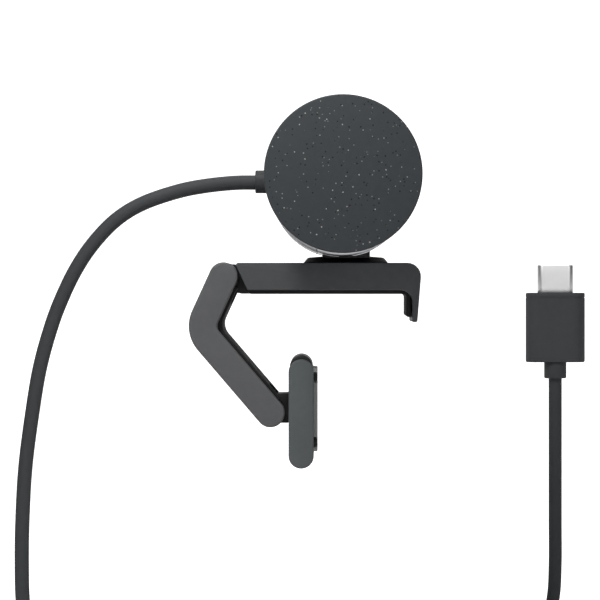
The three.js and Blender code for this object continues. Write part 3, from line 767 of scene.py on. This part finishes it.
def make_cord():
    """The whole lead as one round tube, from inside the gland to inside the plug's collar."""
    route = smooth_path([*LEAD_POINTS, *coil_points(), *TAIL_POINTS])
    curve = bpy.data.curves.new("lead", "CURVE")
    curve.dimensions = "3D"
    curve.bevel_depth = CORD_DIAMETER / 2 * MM
    curve.bevel_resolution = 6
    curve.use_fill_caps = True
    spline = curve.splines.new("POLY")
    spline.points.add(len(route) - 1)
    for point, place in zip(spline.points, route):
        point.co = (*(place * MM), 1)
    cord = bpy.data.objects.new("lead", curve)
    bpy.context.scene.collection.objects.link(cord)
    only(cord)
    bpy.ops.object.convert(target="MESH")
    cord = new_piece("lead")
    face_outwards(cord)
    deliver(cord, None, "cord_jacket", PAINT["cord"], "cord_lead", "cord_coil", "cord_tail")
    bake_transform(cord)
    return cord, [place * MM for place in route]


cord_piece, cord_path = make_cord()


def make_plug_collar():
    """Round collar where the lead enters the plug."""
    low, high = node_box("plug_collar")
    radius = (high.x - low.x) / 2
    rings = [
        (0, low.z),
        (radius - 0.3, low.z),
        (radius - 0.08, low.z + 0.08),
        (radius, low.z + 0.3),
        (radius, high.z + 0.25),
        (0, high.z + 0.25),
    ]
    collar = turned("collar", rings, "Z", (PLUG_X, PLUG_Y, 0), 48)
    return deliver(collar, "mount", "cord_jacket", PAINT["cord"], "plug_collar")


def upright(name, outline, low, high):
    """An outline in X and Y around the plug's middle, pulled up along Z."""
    return set_down(side_body(name, outline, -high, -low), (PLUG_X, PLUG_Y, 0), (-math.pi / 2, 0, 0))


def plug_outline(width, depth, corner, steps=9):
    """A rectangle with round corners about the plug's middle."""
    x, y = width / 2, depth / 2
    return rounded([(x, y, corner), (-x, y, corner), (-x, -y, corner), (x, -y, corner)], steps)


def make_overmould():
    """Plug body: an upright block with broad round sides and a shallow line round its top."""
    low, high = OVERMOULD_LOW, OVERMOULD_HIGH
    width, depth = high.x - low.x, high.y - low.y
    body = upright("plug_body", plug_outline(width, depth, 3.0, 12), low.z, high.z)
    soften(body, 0.35, 4, 50)
    seam = high.z - 1.1
    groove = upright("groove", plug_outline(width + 1, depth + 1, 3.4, 12), seam - 0.1, seam + 0.1)
    core = upright("core", plug_outline(width - 0.2, depth - 0.2, 2.9, 12), seam - 1, seam + 1)
    carve(body, carve(groove, core))
    return deliver(body, "mount", "graphite", PAINT["plug"], "plug_overmould", angle=25)


def make_plug_shell():
    """Rolled metal shell with a rounded mouth and its two latch windows."""
    low, _ = node_box("plug_shell")
    shell = upright("plug_metal", plug_outline(8.34, 2.56, 1.27), low.z - 0.35, SHELL_TIP)
    soften(shell, 0.2, 3, 60)
    carve(shell, upright("mouth", plug_outline(7.7, 1.92, 0.95), low.z + 0.9, SHELL_TIP + 2))
    for x in (PLUG_X + 2.6, PLUG_X - 2.6):
        window_low = (x - 0.45, PLUG_Y + 1.05, low.z + 2.1)
        carve(shell, slab("latch", window_low, (x + 0.45, PLUG_Y + 3, low.z + 2.9)))
    return deliver(shell, "mount", "plug_steel", PAINT["nickel"], "plug_shell", angle=25)


def make_tongue():
    """Plug tongue with its row of gold contacts."""
    low, high = node_box("plug_tongue")
    tongue = slab("tongue", low, high, 0.08, 2)
    deliver(tongue, "mount", "black_plastic", PAINT["black"], "plug_tongue")
    contacts = []
    for i in range(12):
        x = PLUG_X - 2.75 + i * 0.5
        contact_low = (x - 0.12, low.y - 0.03, low.z + 0.3)
        contacts.append(slab("contact", contact_low, (x + 0.12, high.y + 0.03, high.z - 0.4)))
    return tongue, deliver(joined("contacts", *contacts), "mount", "brass", PAINT["gold"])


def make_tie():
    """A flat band that goes right round one side of the coil."""
    wall = 0.6
    room = 0.9
    half = 4.5
    high = COIL_HIGH.z + room
    inner = math.sqrt(COIL_INNER**2 - half**2) - room
    outer = COIL_HIGH.x - COIL_X + room
    corners = [(inner, FLOOR_Z, 1.4), (outer, FLOOR_Z, 1.4), (outer, high, 1.4), (inner, high, 1.4)]
    holes = [
        (inner + wall, FLOOR_Z + wall, 0.9),
        (outer - wall, FLOOR_Z + wall, 0.9),
        (outer - wall, high - wall, 0.9),
        (inner + wall, high - wall, 0.9),
    ]
    strap = side_body("strap", rounded(corners, 6), -half, half)
    carve(strap, side_body("window", rounded(holes, 6), -half - 2, half + 2))
    soften(strap, 0.12, 2, 60)
    strap = set_down(strap, (COIL_X, COIL_Y, 0), (0, 0, math.radians(120)))
    return deliver(strap, "mount", "black_plastic", PAINT["rubber"], "coil_tie")


collar_piece = make_plug_collar()
overmould_piece = make_overmould()
plug_shell_piece = make_plug_shell()
tongue_piece, contacts_piece = make_tongue()
tie_piece = make_tie()

# ------------------------------------------------------------ head


def round_axis(radius, angle):
    """A point on a circle round the barrel's axis; the angle runs from straight down towards the lens."""
    turn = math.radians(angle)
    return BARREL.x + radius * math.sin(turn), BARREL.z - radius * math.cos(turn)


def arc_wall(name, first, last, inner=SHELL_INNER, outer=BARREL_RADIUS, low=SHELL_LOW.y, high=SHELL_HIGH.y):
    """A stretch of tube wall between two angles, with a facet about every two degrees."""
    count = max(2, round((last - first) / 2.0))
    angles = [first + (last - first) * i / count for i in range(count + 1)]
    outline = [round_axis(outer, angle) for angle in angles]
    outline += [round_axis(inner, angle) for angle in reversed(angles)]
    return side_body(name, outline, low, high)


def make_front_shell():
    """Smooth silver front half, with its lens opening, tilt slot, indicator and microphone holes."""
    shell = arc_wall("barrel_front", -SEAM_ANGLE + SHELL_GAP_ANGLE, 180 + SEAM_ANGLE - SHELL_GAP_ANGLE)
    carve(
        shell,
        drill("X", 9.5, 5, 20, BARREL, 96),
        arc_wall("slot", -13.2, 39.8, inner=13, outer=18, low=-1.8, high=1.8),
        drill("X", 0.9, 5, 20, BARREL + Vector((0, -14, 0)), 24),
    )
    soften(shell, 0.16, 3, 40)
    for side in (-1, 1):
        for column in range(3):
            for row in (-1, 1):
                spot = BARREL + Vector((0, side * (32.6 + column * 1.4), row * 0.7))
                carve(shell, drill("X", 0.32, 12, 20, spot, 12))
    return deliver(shell, "head", "silver_shell", PAINT["silver"], "front_shell", angle=30)


def make_rear_shell():
    """Perforated rear half, with the gland's hole."""
    shell = arc_wall("barrel_rear", 180 + SEAM_ANGLE + SHELL_GAP_ANGLE, 360 - SEAM_ANGLE - SHELL_GAP_ANGLE)
    carve(shell, drill("X", 2.75, -22, -5, (BARREL.x, 0, GLAND_LOW.z / 2 + GLAND_HIGH.z / 2)))
    soften(shell, 0.16, 3, 40)
    return deliver(shell, "head", "woven_shell", PAINT["perforated"], "rear_shell", angle=30)


def cap_profile(face, inward):
    """Half section of an end cap, from its outer face inwards: flat face, soft rim, spigot."""
    radius = BARREL_RADIUS
    rim = 0.3
    spigot = 4.6
    profile = [(0, face), (radius - rim, face)]
    for step in range(1, 5):
        turn = math.pi / 2 * step / 4
        profile.append((radius - rim + rim * math.sin(turn), face + inward * rim * (1 - math.cos(turn))))
    profile += [
        (radius, face + inward * (CAP_THICKNESS - 0.1)),
        (radius - 0.1, face + inward * CAP_THICKNESS),
        (SHELL_INNER - 0.3, face + inward * CAP_THICKNESS),
        (SHELL_INNER - 0.3, face + inward * spigot),
        (0, face + inward * spigot),
    ]
    return profile


def make_caps():
    """The near speckled cap and the dial's cap, which has a finger dimple at its rim."""
    near = turned("near_cap", cap_profile(CAP_LOW.y, 1), "Y", (BARREL.x, 0, BARREL.z), 192)
    deliver(near, "head", "speckled_cap", PAINT["speckled"], "end_cap", angle=25)
    far = turned("far_cap", cap_profile(FAR_FACE, -1), "Y", (BARREL.x, 0, BARREL.z), 192)
    x, z = round_axis(11.3, 180)
    dimple = [(0, -0.2), (0.8, 0.03), (1.4, 0.42), (1.7, 0.9), (0, 0.9)]
    carve(far, turned("dimple", dimple, "Y", (x, FAR_FACE - 0.45, z), 32))
    return deliver(far, "shutter_dial", "speckled_cap", PAINT["speckled"], "dial_cap", angle=25)


def make_dial_ring():
    """Knurled ring that turns the shutter."""
    low, high = DIAL_LOW.y, DIAL_HIGH.y
    edge = 0.25
    root = BARREL_RADIUS - 0.32
    ring = turned("dial_grip", [
        (SHELL_INNER, low),
        (BARREL_RADIUS - edge, low),
        (BARREL_RADIUS, low + edge),
        (BARREL_RADIUS, low + 0.8),
        (root, low + 1.0),
        (root, high - 1.0),
        (BARREL_RADIUS, high - 0.8),
        (BARREL_RADIUS, high - edge),
        (BARREL_RADIUS - edge, high),
        (SHELL_INNER, high),
        (SHELL_INNER, low),
    ], "Y", (BARREL.x, 0, BARREL.z), 144)
    mesh = edit(ring, "FACE")

    def on_rib(face):
        middle = face.calc_center_median() / MM
        distance = math.hypot(middle.x - BARREL.x, middle.z - BARREL.z)
        turn = math.degrees(math.atan2(middle.z - BARREL.z, middle.x - BARREL.x)) % 5
        return distance > root - 0.02 and low + 1.05 < middle.y < high - 1.05 and turn > 2.5

    select_where(ring, mesh, mesh.faces, on_rib)
    bpy.ops.mesh.inset(thickness=0.06 * MM, use_individual=True)
    bpy.ops.mesh.extrude_region_shrink_fatten(TRANSFORM_OT_shrink_fatten={"value": -0.26 * MM})
    leave()
    return deliver(ring, "shutter_dial", "graphite", PAINT["bar"], "dial_ring", angle=30)


def curved_disc(name, radius, inner, outer):
    """A round plug through the barrel's front, cut to lie between two radii from the barrel's axis."""
    disc = turned(name, [(0, 5), (radius, 5), (radius, outer + 2), (0, outer + 2)], "X", BARREL, 128)
    around = [(outer, -20), (outer + 14, -20), (outer + 14, 20), (outer, 20), (outer, -20)]
    carve(disc, drill("Y", inner, -20, 20, BARREL, 192), turned("around", around, "Y", BARREL, 192))
    return disc


def make_bezel():
    """Black lens bezel that follows the barrel and stands just proud of it, with the window in it."""
    low, high = node_box("lens_bezel")
    crest = high.x - BARREL.x
    bezel = curved_disc("bezel", (high.z - low.z) / 2, SHELL_INNER + 0.07, crest)
    low, high = node_box("lens_window")
    radius = (high.z - low.z) / 2
    front = high.x - BARREL.x
    seat = curved_disc("seat", radius + 0.3, front - 0.65, crest + 2)
    carve(bezel, drill("X", 5.2, 5, 20, BARREL, 96), seat)
    soften(bezel, 0.14, 3, 40)
    window = curved_disc("window", radius, front - 0.6, front)
    soften(window, 0.1, 2, 40)
    deliver(window, "head", "lens_glass", PAINT["window"], "lens_window", angle=30)
    return deliver(bezel, "head", "black_plastic", PAINT["black"], "lens_bezel", angle=30)


def make_lens():
    """Stepped lens barrel and its coated front element."""
    tube = turned("lens_tube", [
        (3.3, 3.5),
        (6, 3.5),
        (6, 5),
        (4.7, 5.2),
        (4.7, 7.6),
        (4.5, 7.8),
        (4.5, 12.4),
        (4.3, 12.6),
        (4.0, 12.6),
        (3.7, 12.3),
        (3.5, 12.3),
        (3.3, 12.0),
        (3.3, 3.5),
    ], "X", BARREL, 72)
    deliver(tube, "head", "black_plastic", PAINT["black"], "lens_barrel", angle=30)
    low, high = node_box("lens_element")
    back, front = low.x - BARREL.x, high.x - BARREL.x
    dome = [(0, back), (3, back), (3, back + 1.3)]
    for step in range(1, 8):
        radius = 3 * (1 - step / 8)
        dome.append((radius, back + 1.3 + (front - back - 1.3) * (1 - (radius / 3) ** 2)))
    dome.append((0, front))
    element = turned("front_element", dome, "X", BARREL, 72)
    return deliver(element, "head", "lens_glass", PAINT["element"], "lens_element")


def make_light_pipe():
    """Round-nosed light guide beside the lens."""
    low, high = node_box("light_pipe")
    guide = turned("indicator", [
        (0, low.x - BARREL.x),
        (0.65, low.x - BARREL.x),
        (0.65, high.x - BARREL.x - 0.25),
        (0.5, high.x - BARREL.x - 0.06),
        (0.25, high.x - BARREL.x),
        (0, high.x - BARREL.x + 0.01),
    ], "X", BARREL + Vector((0, (low.y + high.y) / 2, 0)), 32)
    return deliver(guide, "head", "light_pipe", PAINT["guide"], "light_pipe")


def make_gland():
    """Cord gland: a short stepped sleeve with a soft mouth round the lead."""
    axis_z = (GLAND_LOW.z + GLAND_HIGH.z) / 2
    mouth = GLAND_LOW.x - BARREL.x
    radius = 2.45
    gland = turned("gland", [
        (0, mouth),
        (1.62, mouth),
        (radius - 0.3, mouth),
        (radius - 0.08, mouth + 0.08),
        (radius, mouth + 0.3),
        (radius, mouth + 3),
        (radius + 0.25, mouth + 3.2),
        (radius + 0.25, -13.7),
        (3.6, -13.6),
        (3.6, -12.4),
        (0, -12.4),
    ], "X", (BARREL.x, 0, axis_z), 64)
    return deliver(gland, "head", "graphite", PAINT["gland"], "cord_gland", angle=30)


make_front_shell()
make_rear_shell()
make_caps()
make_dial_ring()
make_bezel()
make_lens()
make_light_pipe()
make_gland()

# ------------------------------------------------------------ swivel mount


def make_mount():
    """Domed swivel puck with its spindle, and the saddle that cups the barrel."""
    low, _ = node_box("mount_base")
    top = BAR_HIGH.z + 0.05
    puck = turned("swivel_puck", [
        (0, low.z),
        (3.6, low.z),
        (3.6, top),
        (8.85, top),
        (8.9, top + 0.08),
        (8.9, top + 0.2),
        (8.2, top + 1.0),
        (8.05, top + 1.1),
        (7.8, top + 1.17),
        (5, top + 1.4),
        (0, top + 1.4),
    ], "Z", (0, 0, 0), 128)
    saddle = slab("saddle", (-5, -12, top + 1.0), (5, 12, 9.4))
    mesh = edit(saddle, "EDGE")

    def upright_edge(line):
        return abs((line.verts[0].co - line.verts[1].co).normalized().z) > 0.9

    select_where(saddle, mesh, mesh.edges, upright_edge)
    bpy.ops.mesh.bevel(offset=1.2 * MM, segments=5, affect="EDGES")
    leave()
    carve(saddle, drill("Z", 2.2, 5, 8.0, (0, 0, 0), 32))
    for part in (saddle, puck):
        stem_pocket = slab("pocket", (-1.8, -1.8, 4.6), (1.8, 1.8, 11))
        carve(part, drill("Y", CRADLE_RADIUS, -20, 20, BARREL, 192), stem_pocket)
    soften(saddle, 0.12, 2, 50)
    deliver(saddle, "mount", "black_plastic", PAINT["gland"], angle=30)
    return deliver(puck, "mount", "black_plastic", PAINT["puck"], "mount_base", angle=30)


make_mount()

# ------------------------------------------------------------ clip


def make_bar():
    """Bar with its hooked front lip: a channel, open below, with rounded edges."""
    top = BAR_HIGH.z
    bottom = 0.8
    inner = 13.87
    tip = 14.9
    outline = rounded([
        (-20.7, bottom, 0.25),
        (inner, bottom, 2.6),
        (inner, BAR_LOW.z, 0.35),
        (tip, BAR_LOW.z, 0.4),
        (BAR_HIGH.x, top, 2.85),
        (-23.4, top, 0.5),
    ], 7)
    bar = side_body("bar", outline, -CLIP_HALF, CLIP_HALF)
    soften(bar, 0.45, 4, 50)
    carve(
        bar,
        slab("channel", (-30, -CLIP_INNER, -10), (inner, CLIP_INNER, 4.5)),
        drill("Z", 3.9, 3, 8, (0, 0, 0), 64),
    )
    return deliver(bar, "clip", "graphite", PAINT["bar"], "clip_bar", angle=30)


def make_liner():
    """Rubber lining under the bar and inside the lip, with shallow grip grooves."""
    rear = -20.3
    hook = 12.6
    back = 13.57
    top = 1.3
    outline = rounded([
        (rear, 0, 0.3),
        (hook, 0, 0.6),
        (hook, -4.4, 0.3),
        (back, -5.1, 0.15),
        (back, top, 0),
        (rear, top, 0),
    ], 6)
    liner = side_body("lining", outline, -LINER_HALF, LINER_HALF)
    soften(liner, 0.2, 2, 50)
    for i in range(13):
        x = -18 + i * 2.2
        carve(liner, slab("groove", (x - 0.2, -LINER_HALF + 1, -1), (x + 0.2, LINER_HALF - 1, 0.22)))
    return deliver(liner, "clip", "liner_rubber", PAINT["rubber"], "clip_liner", angle=30)


def make_clip_lug():
    """Hinge lug that reaches back from inside the bar, round the arm's pin."""
    web_top = BAR_HIGH.z - 0.25
    screw_x = -15
    boss = drill("Y", LUG_RADIUS, -LUG_HALF, LUG_HALF, UPPER_PIN, 64)
    web = side_body("lug_web", rounded([
        (UPPER_PIN.x, 1.3, 0),
        (-24.2, 0.5, 0),
        (-22.1, 0.05, 0.2),
        (-20.35, 0.05, 0.2),
        (-20.35, 1.9, 0),
        (-12, 1.9, 0.2),
        (-12, 4.2, 0.2),
        (-22.75, 4.2, 0),
        (-23.55, web_top, 0.1),
        (UPPER_PIN.x, web_top, 0),
    ]), -LUG_HALF, LUG_HALF)
    unite(boss, web)
    soften(boss, 0.15, 2, 50)
    carve(boss, drill("Y", PIN_BORE, -10, 10, UPPER_PIN, 32))
    for screw_y in (-3, 3):
        carve(boss, drill("Z", 1.15, 0, 8, (screw_x, screw_y, 0), 24))
        carve(boss, drill("Z", 2.05, 0, 2.75, (screw_x, screw_y, 0), 32))
    boss.name = "lug"
    return deliver(boss, "clip", "black_plastic", PAINT["black"], "clip_hinge_lug", angle=30)


def make_pin(name, spot, body, node):
    """Hinge pin with chamfered, dimpled ends."""
    profile = [
        (0, -PIN_REACH + 0.25),
        (0.35, -PIN_REACH + 0.25),
        (0.5, -PIN_REACH),
        (0.8, -PIN_REACH),
        (PIN_RADIUS, -PIN_REACH + 0.2),
    ]
    profile += [(radius, -station) for radius, station in reversed(profile[1:])]
    profile.append((0, PIN_REACH - 0.25))
    pin = turned(name, profile, "Y", spot, 40)
    return deliver(pin, body, "steel", PAINT["steel"], node)


make_bar()
make_liner()
make_clip_lug()
make_pin("upper_pin", UPPER_PIN, "clip", "arm_hinge_pin")
make_pin("lower_pin", LOWER_PIN, "arm", "pad_hinge_pin")

# ------------------------------------------------------------ arm

ARM_HALF = 3.0
ELBOW_RADIUS = 7.8
ELBOW = Vector((-30.85, -7.5))
UPPER = Vector((UPPER_PIN.x, UPPER_PIN.z))
LOWER = Vector((LOWER_PIN.x, LOWER_PIN.z))
UPPER_RUN = (ELBOW - UPPER).normalized()
LOWER_RUN = (LOWER - ELBOW).normalized()
UPPER_SIDE = Vector((-UPPER_RUN.y, UPPER_RUN.x))
LOWER_SIDE = Vector((-LOWER_RUN.y, LOWER_RUN.x))
BISECTOR = (UPPER_SIDE + LOWER_SIDE).normalized()
CORNER_REACH = 1 / BISECTOR.dot(UPPER_SIDE)
SLOT_HALF = 6.2
SLOT_RADIUS = 4.6


def arc(centre, radius, start, end, steps):
    """Points on an arc, with its angles in radians."""
    angles = [start + (end - start) * i / steps for i in range(steps + 1)]
    return [centre + radius * Vector((math.cos(angle), math.sin(angle))) for angle in angles]


def elbow_fillet(depth, radius):
    """The rounded inner corner of the elbow at a depth from the arm's middle line, from top to bottom."""
    corner = ELBOW + BISECTOR * depth * CORNER_REACH
    before = corner - UPPER_RUN * 2 * radius
    after = corner + LOWER_RUN * 2 * radius
    points = rounded([(*before, 0), (*corner, radius), (*after, 0)], 10)
    return points[1:-1]


def arm_outline():
    """A boomerang with a boss at each end and a broad round elbow."""
    upper = math.atan2(UPPER_SIDE.y, UPPER_SIDE.x)
    lower = math.atan2(LOWER_SIDE.y, LOWER_SIDE.x)
    if lower < upper:
        lower += 2 * math.pi
    centre = ELBOW + BISECTOR * (ARM_HALF - ELBOW_RADIUS) * -CORNER_REACH
    outline = arc(UPPER, ARM_HALF, upper, upper + math.pi, 24)
    outline += arc(centre, ELBOW_RADIUS, upper + math.pi, lower + math.pi, 14)
    outline += arc(LOWER, ARM_HALF, lower + math.pi, lower + 2 * math.pi, 24)
    return outline + elbow_fillet(ARM_HALF, 1.9)[::-1]


def inner_strip(shallow, deep, room):
    """A bent strip along the arm's inner side, between two depths from its middle line."""
    starts = [UPPER + UPPER_RUN * room + UPPER_SIDE * depth for depth in (shallow, deep)]
    ends = [LOWER - LOWER_RUN * room + LOWER_SIDE * depth for depth in (shallow, deep)]
    inner = elbow_fillet(shallow, 2.6)
    outer = elbow_fillet(deep, 3.3)
    return [starts[0], *inner, ends[0], ends[1], *outer[::-1], starts[1]]


def make_arm():
    """Arm shell with soft edges, its lining recess, hinge slots and pin bores."""
    shell = side_body("arm_casting", arm_outline(), -CLIP_HALF, CLIP_HALF)
    soften(shell, 0.5, 4, 50)
    cutters = [side_body("recess", inner_strip(2, 5, 0.7), -CLIP_INNER, CLIP_INNER)]
    for spot in (UPPER_PIN, LOWER_PIN):
        cutters.append(drill("Y", SLOT_RADIUS, -SLOT_HALF, SLOT_HALF, spot, 64))
        cutters.append(drill("Y", PIN_BORE, -13.1, 13.1, spot, 32))
    carve(shell, *cutters)
    deliver(shell, "arm", "arm_grey", PAINT["arm"], "arm_shell", angle=30)
    liner = side_body("arm_lining", inner_strip(2.3, 3.6, 1), -LINER_HALF, LINER_HALF)
    carve(liner, *(drill("Y", 5.9, -SLOT_HALF, SLOT_HALF, spot, 64) for spot in (UPPER_PIN, LOWER_PIN)))
    soften(liner, 0.25, 3, 50)
    return deliver(liner, "arm", "liner_rubber", PAINT["rubber"], "arm_liner", angle=30)


make_arm()

# ------------------------------------------------------------ pad


def pad_recess():
    """Cutter for the pocket that the front layer sits in."""
    _, high = node_box("pad_shell")
    return slab("recess", (high.x - 1, -CLIP_INNER, -33.3), (0, CLIP_INNER, -15.3))


def make_pad_body():
    """Tall round-ended shell and the dark core that caps it."""
    low, high = node_box("pad_shell")
    radius = (high.x - low.x) / 2
    middle = (high.x + low.x) / 2
    outline = arc(Vector((middle, high.z - radius)), radius, 0, math.pi, 24)
    outline += arc(Vector((middle, low.z + radius)), radius, math.pi, 2 * math.pi, 24)
    shell = side_body("pad_body", outline, -CLIP_HALF, CLIP_HALF)
    soften(shell, 0.4, 4, 50)
    core_low, core_high = node_box("pad_core")
    core_radius = (core_high.x - core_low.x) / 2
    core_outline = arc(Vector((middle, core_high.z - core_radius)), core_radius, 0, math.pi, 24)
    core_outline += [Vector((core_low.x, core_low.z)), Vector((core_high.x, core_low.z))]
    core = side_body("pad_middle", core_outline, core_low.y, core_high.y)
    soften(core, 0.3, 3, 50)
    room = core_high.y + 0.3
    carve(shell, pad_recess(), slab("core_room", (-20, -room, core_low.z - 0.3), (0, room, 0)))
    carve(core, pad_recess())
    deliver(core, "pad", "black_plastic", PAINT["black"], "pad_core", angle=30)
    return deliver(shell, "pad", "pad_grey", PAINT["pad"], "pad_shell", angle=30)


def make_knuckle():
    """Hinge knuckle, with its neck and the broad foot that meets the pad's back."""
    front = node_box("pad_shell")[0].x - 0.05
    knuckle = soften(drill("Y", LUG_RADIUS, -LUG_HALF, LUG_HALF, LOWER_PIN, 64), 0.15, 2, 50)
    for bottom, top, back in ((LOWER_PIN.z - 2, LOWER_PIN.z + 2, LOWER_PIN.x), (-27.3, -21, -14.5)):
        unite(knuckle, slab("web", (back, -LUG_HALF, bottom), (front, LUG_HALF, top), 0.15, 2))
    carve(knuckle, drill("Y", PIN_BORE, -10, 10, LOWER_PIN, 32))
    face_outwards(knuckle, 1e-6)
    knuckle.name = "pad_lug"
    return deliver(knuckle, "pad", "black_plastic", PAINT["black"], "pad_knuckle", angle=30)


def make_pad_front():
    """Ribbed front layer and its two grip strips."""
    face_low, face_high = node_box("pad_face")
    face = slab("pad_front", face_low, face_high, 0.2, 3)
    for z in (-31.1, -17.5):
        carve(face, slab("slot", (-7.2, face_low.y - 1, z - 1.1), (0, face_high.y + 1, z + 1.1)))
    for i in range(11):
        z = -29.0 + i * 0.95
        gap_low = (face_high.x - 0.15, face_low.y + 1, z - 0.16)
        carve(face, slab("rib_gap", gap_low, (0, face_high.y - 1, z + 0.16)))
    deliver(face, "pad", "liner_rubber", PAINT["pad_face"], "pad_face", angle=30)
    for name in ("grip_strip_lower", "grip_strip_upper"):
        strip_low, strip_high = node_box(name)
        strip = slab(name.replace("strip", "bead"), strip_low, strip_high, 0.25, 3)
        deliver(strip, "pad", "black_plastic", PAINT["black"], name, angle=40)


make_pad_body()
make_knuckle()
make_pad_front()

# ------------------------------------------------------------ CAD nodes that stay

FINISH_OF_SLOT = {
    "steel": "steel",
    "black_plastic": "black",
    "aluminium": "cast",
    "circuit_board": "board",
    "chip_black": "chip",
    "light_pipe": "guide",
    "brass": "gold",
}


def paint_kept_nodes():
    """Gives every CAD node that still shows the finish of its slot."""
    slots = {row["node"]: row["material_slot"] for row in frame["record"]["subparts"]}
    for name, node in frame["nodes"].items():
        if node.hide_render:
            continue
        material = PAINT[FINISH_OF_SLOT[slots[name]]]
        for place in node.material_slots:
            place.material = material
        if not node.material_slots:
            node.data.materials.append(material)


paint_kept_nodes()

# ------------------------------------------------------------ studio

STAGE_HALF_WIDTH = 2.5
STAGE_FRONT = -2.2
STAGE_BACK = 1.3
STAGE_CURVE = 0.5
STAGE_TOP = 2.5

# Each light: name, place, target, size, power.
LIGHTS = [
    ("key", (-0.07, -0.13, 0.19), (-0.01, -0.03, 0), 0.07, 0.6),
    ("fill", (0.8, -1.2, 0.5), (0, 0, 0), 0.8, 1.8),
    ("top", (0.0, 0.15, 0.9), (0, 0, 0), 0.5, 2.5),
]


def make_stage():
    """A pale floor that curves up into a backdrop and glows as painted light: faint near the object, bright behind
    it, dimmer to the sides.
    """
    floor = FLOOR_Z * MM
    bend = STAGE_BACK - STAGE_CURVE
    profile = [(STAGE_FRONT, floor), (bend, floor)]
    for step in range(1, 13):
        turn = math.pi / 2 * step / 12
        profile.append((bend + STAGE_CURVE * math.sin(turn), floor + STAGE_CURVE * (1 - math.cos(turn))))
    profile.append((STAGE_BACK, STAGE_TOP))
    sweep = drawn_line("sweep", [(-STAGE_HALF_WIDTH, y, z) for y, z in profile], 1)
    bpy.ops.mesh.extrude_region_move(TRANSFORM_OT_translate={"value": (2 * STAGE_HALF_WIDTH, 0, 0)})
    leave()
    only(sweep)
    bpy.ops.object.shade_smooth()
    material, tree, shader, place = new_finish("sweep white with painted glow")
    shader.inputs["Base Color"].default_value = (0.9, 0.9, 0.9, 1)
    shader.inputs["Roughness"].default_value = 0.9
    shader.inputs["Specular IOR Level"].default_value = 0.1
    # Painted light: the sweep's emission lights the object in place of lamps. It rises from 0.1 near the object to
    # 0.85 behind it, and falls to a quarter towards the sides.
    shader.inputs["Emission Color"].default_value = (1, 1, 1, 1)
    sides = add(tree, "ShaderNodeSeparateXYZ", in0=place)
    glow = add(tree, "ShaderNodeMapRange", in0=sides.outputs[1], in1=0.08, in2=0.26, in3=0.1, in4=0.85)
    outward = maths(tree, "ABSOLUTE", sides.outputs[0])
    fade = add(tree, "ShaderNodeMapRange", in0=outward, in1=0.35, in2=1.0, in3=1, in4=0.25)
    strength = maths(tree, "MULTIPLY", glow.outputs[0], fade.outputs[0])
    tree.links.new(strength, shader.inputs["Emission Strength"])
    sweep.data.materials.append(material)


def area_light(name, location, target, size, power):
    """A round soft light turned towards a target."""
    data = bpy.data.lights.new(name, "AREA")
    data.shape = "DISK"
    data.size = size
    data.energy = power
    light = bpy.data.objects.new(name, data)
    light.location = location
    light.rotation_euler = (Vector(target) - Vector(location)).to_track_quat("-Z", "Y").to_euler()
    bpy.context.scene.collection.objects.link(light)


def make_sky():
    """A dim world that darkens to both sides and brightens in front of the near cap."""
    world = bpy.data.worlds.new("studio")
    world.use_nodes = True
    sky = world.node_tree
    background = sky.nodes["Background"]
    background.inputs["Color"].default_value = (1, 1, 1, 1)
    sides = add(sky, "ShaderNodeSeparateXYZ", in0=sky.nodes.new("ShaderNodeTexCoord").outputs["Generated"])
    sideways = maths(sky, "ABSOLUTE", sides.outputs[0])
    around = add(sky, "ShaderNodeMapRange", in0=sideways, in1=0.3, in2=0.9, in3=0.2, in4=0.04)
    ahead = add(sky, "ShaderNodeMapRange", in0=sides.outputs[1], in1=-0.6, in2=-1, in3=0, in4=0.42)
    strength = maths(sky, "ADD", around.outputs[0], ahead.outputs[0])
    sky.links.new(strength, background.inputs["Strength"])
    bpy.context.scene.world = world


make_stage()
make_sky()
for light_row in LIGHTS:
    area_light(*light_row)
bpy.context.scene.view_settings.view_transform = "Standard"
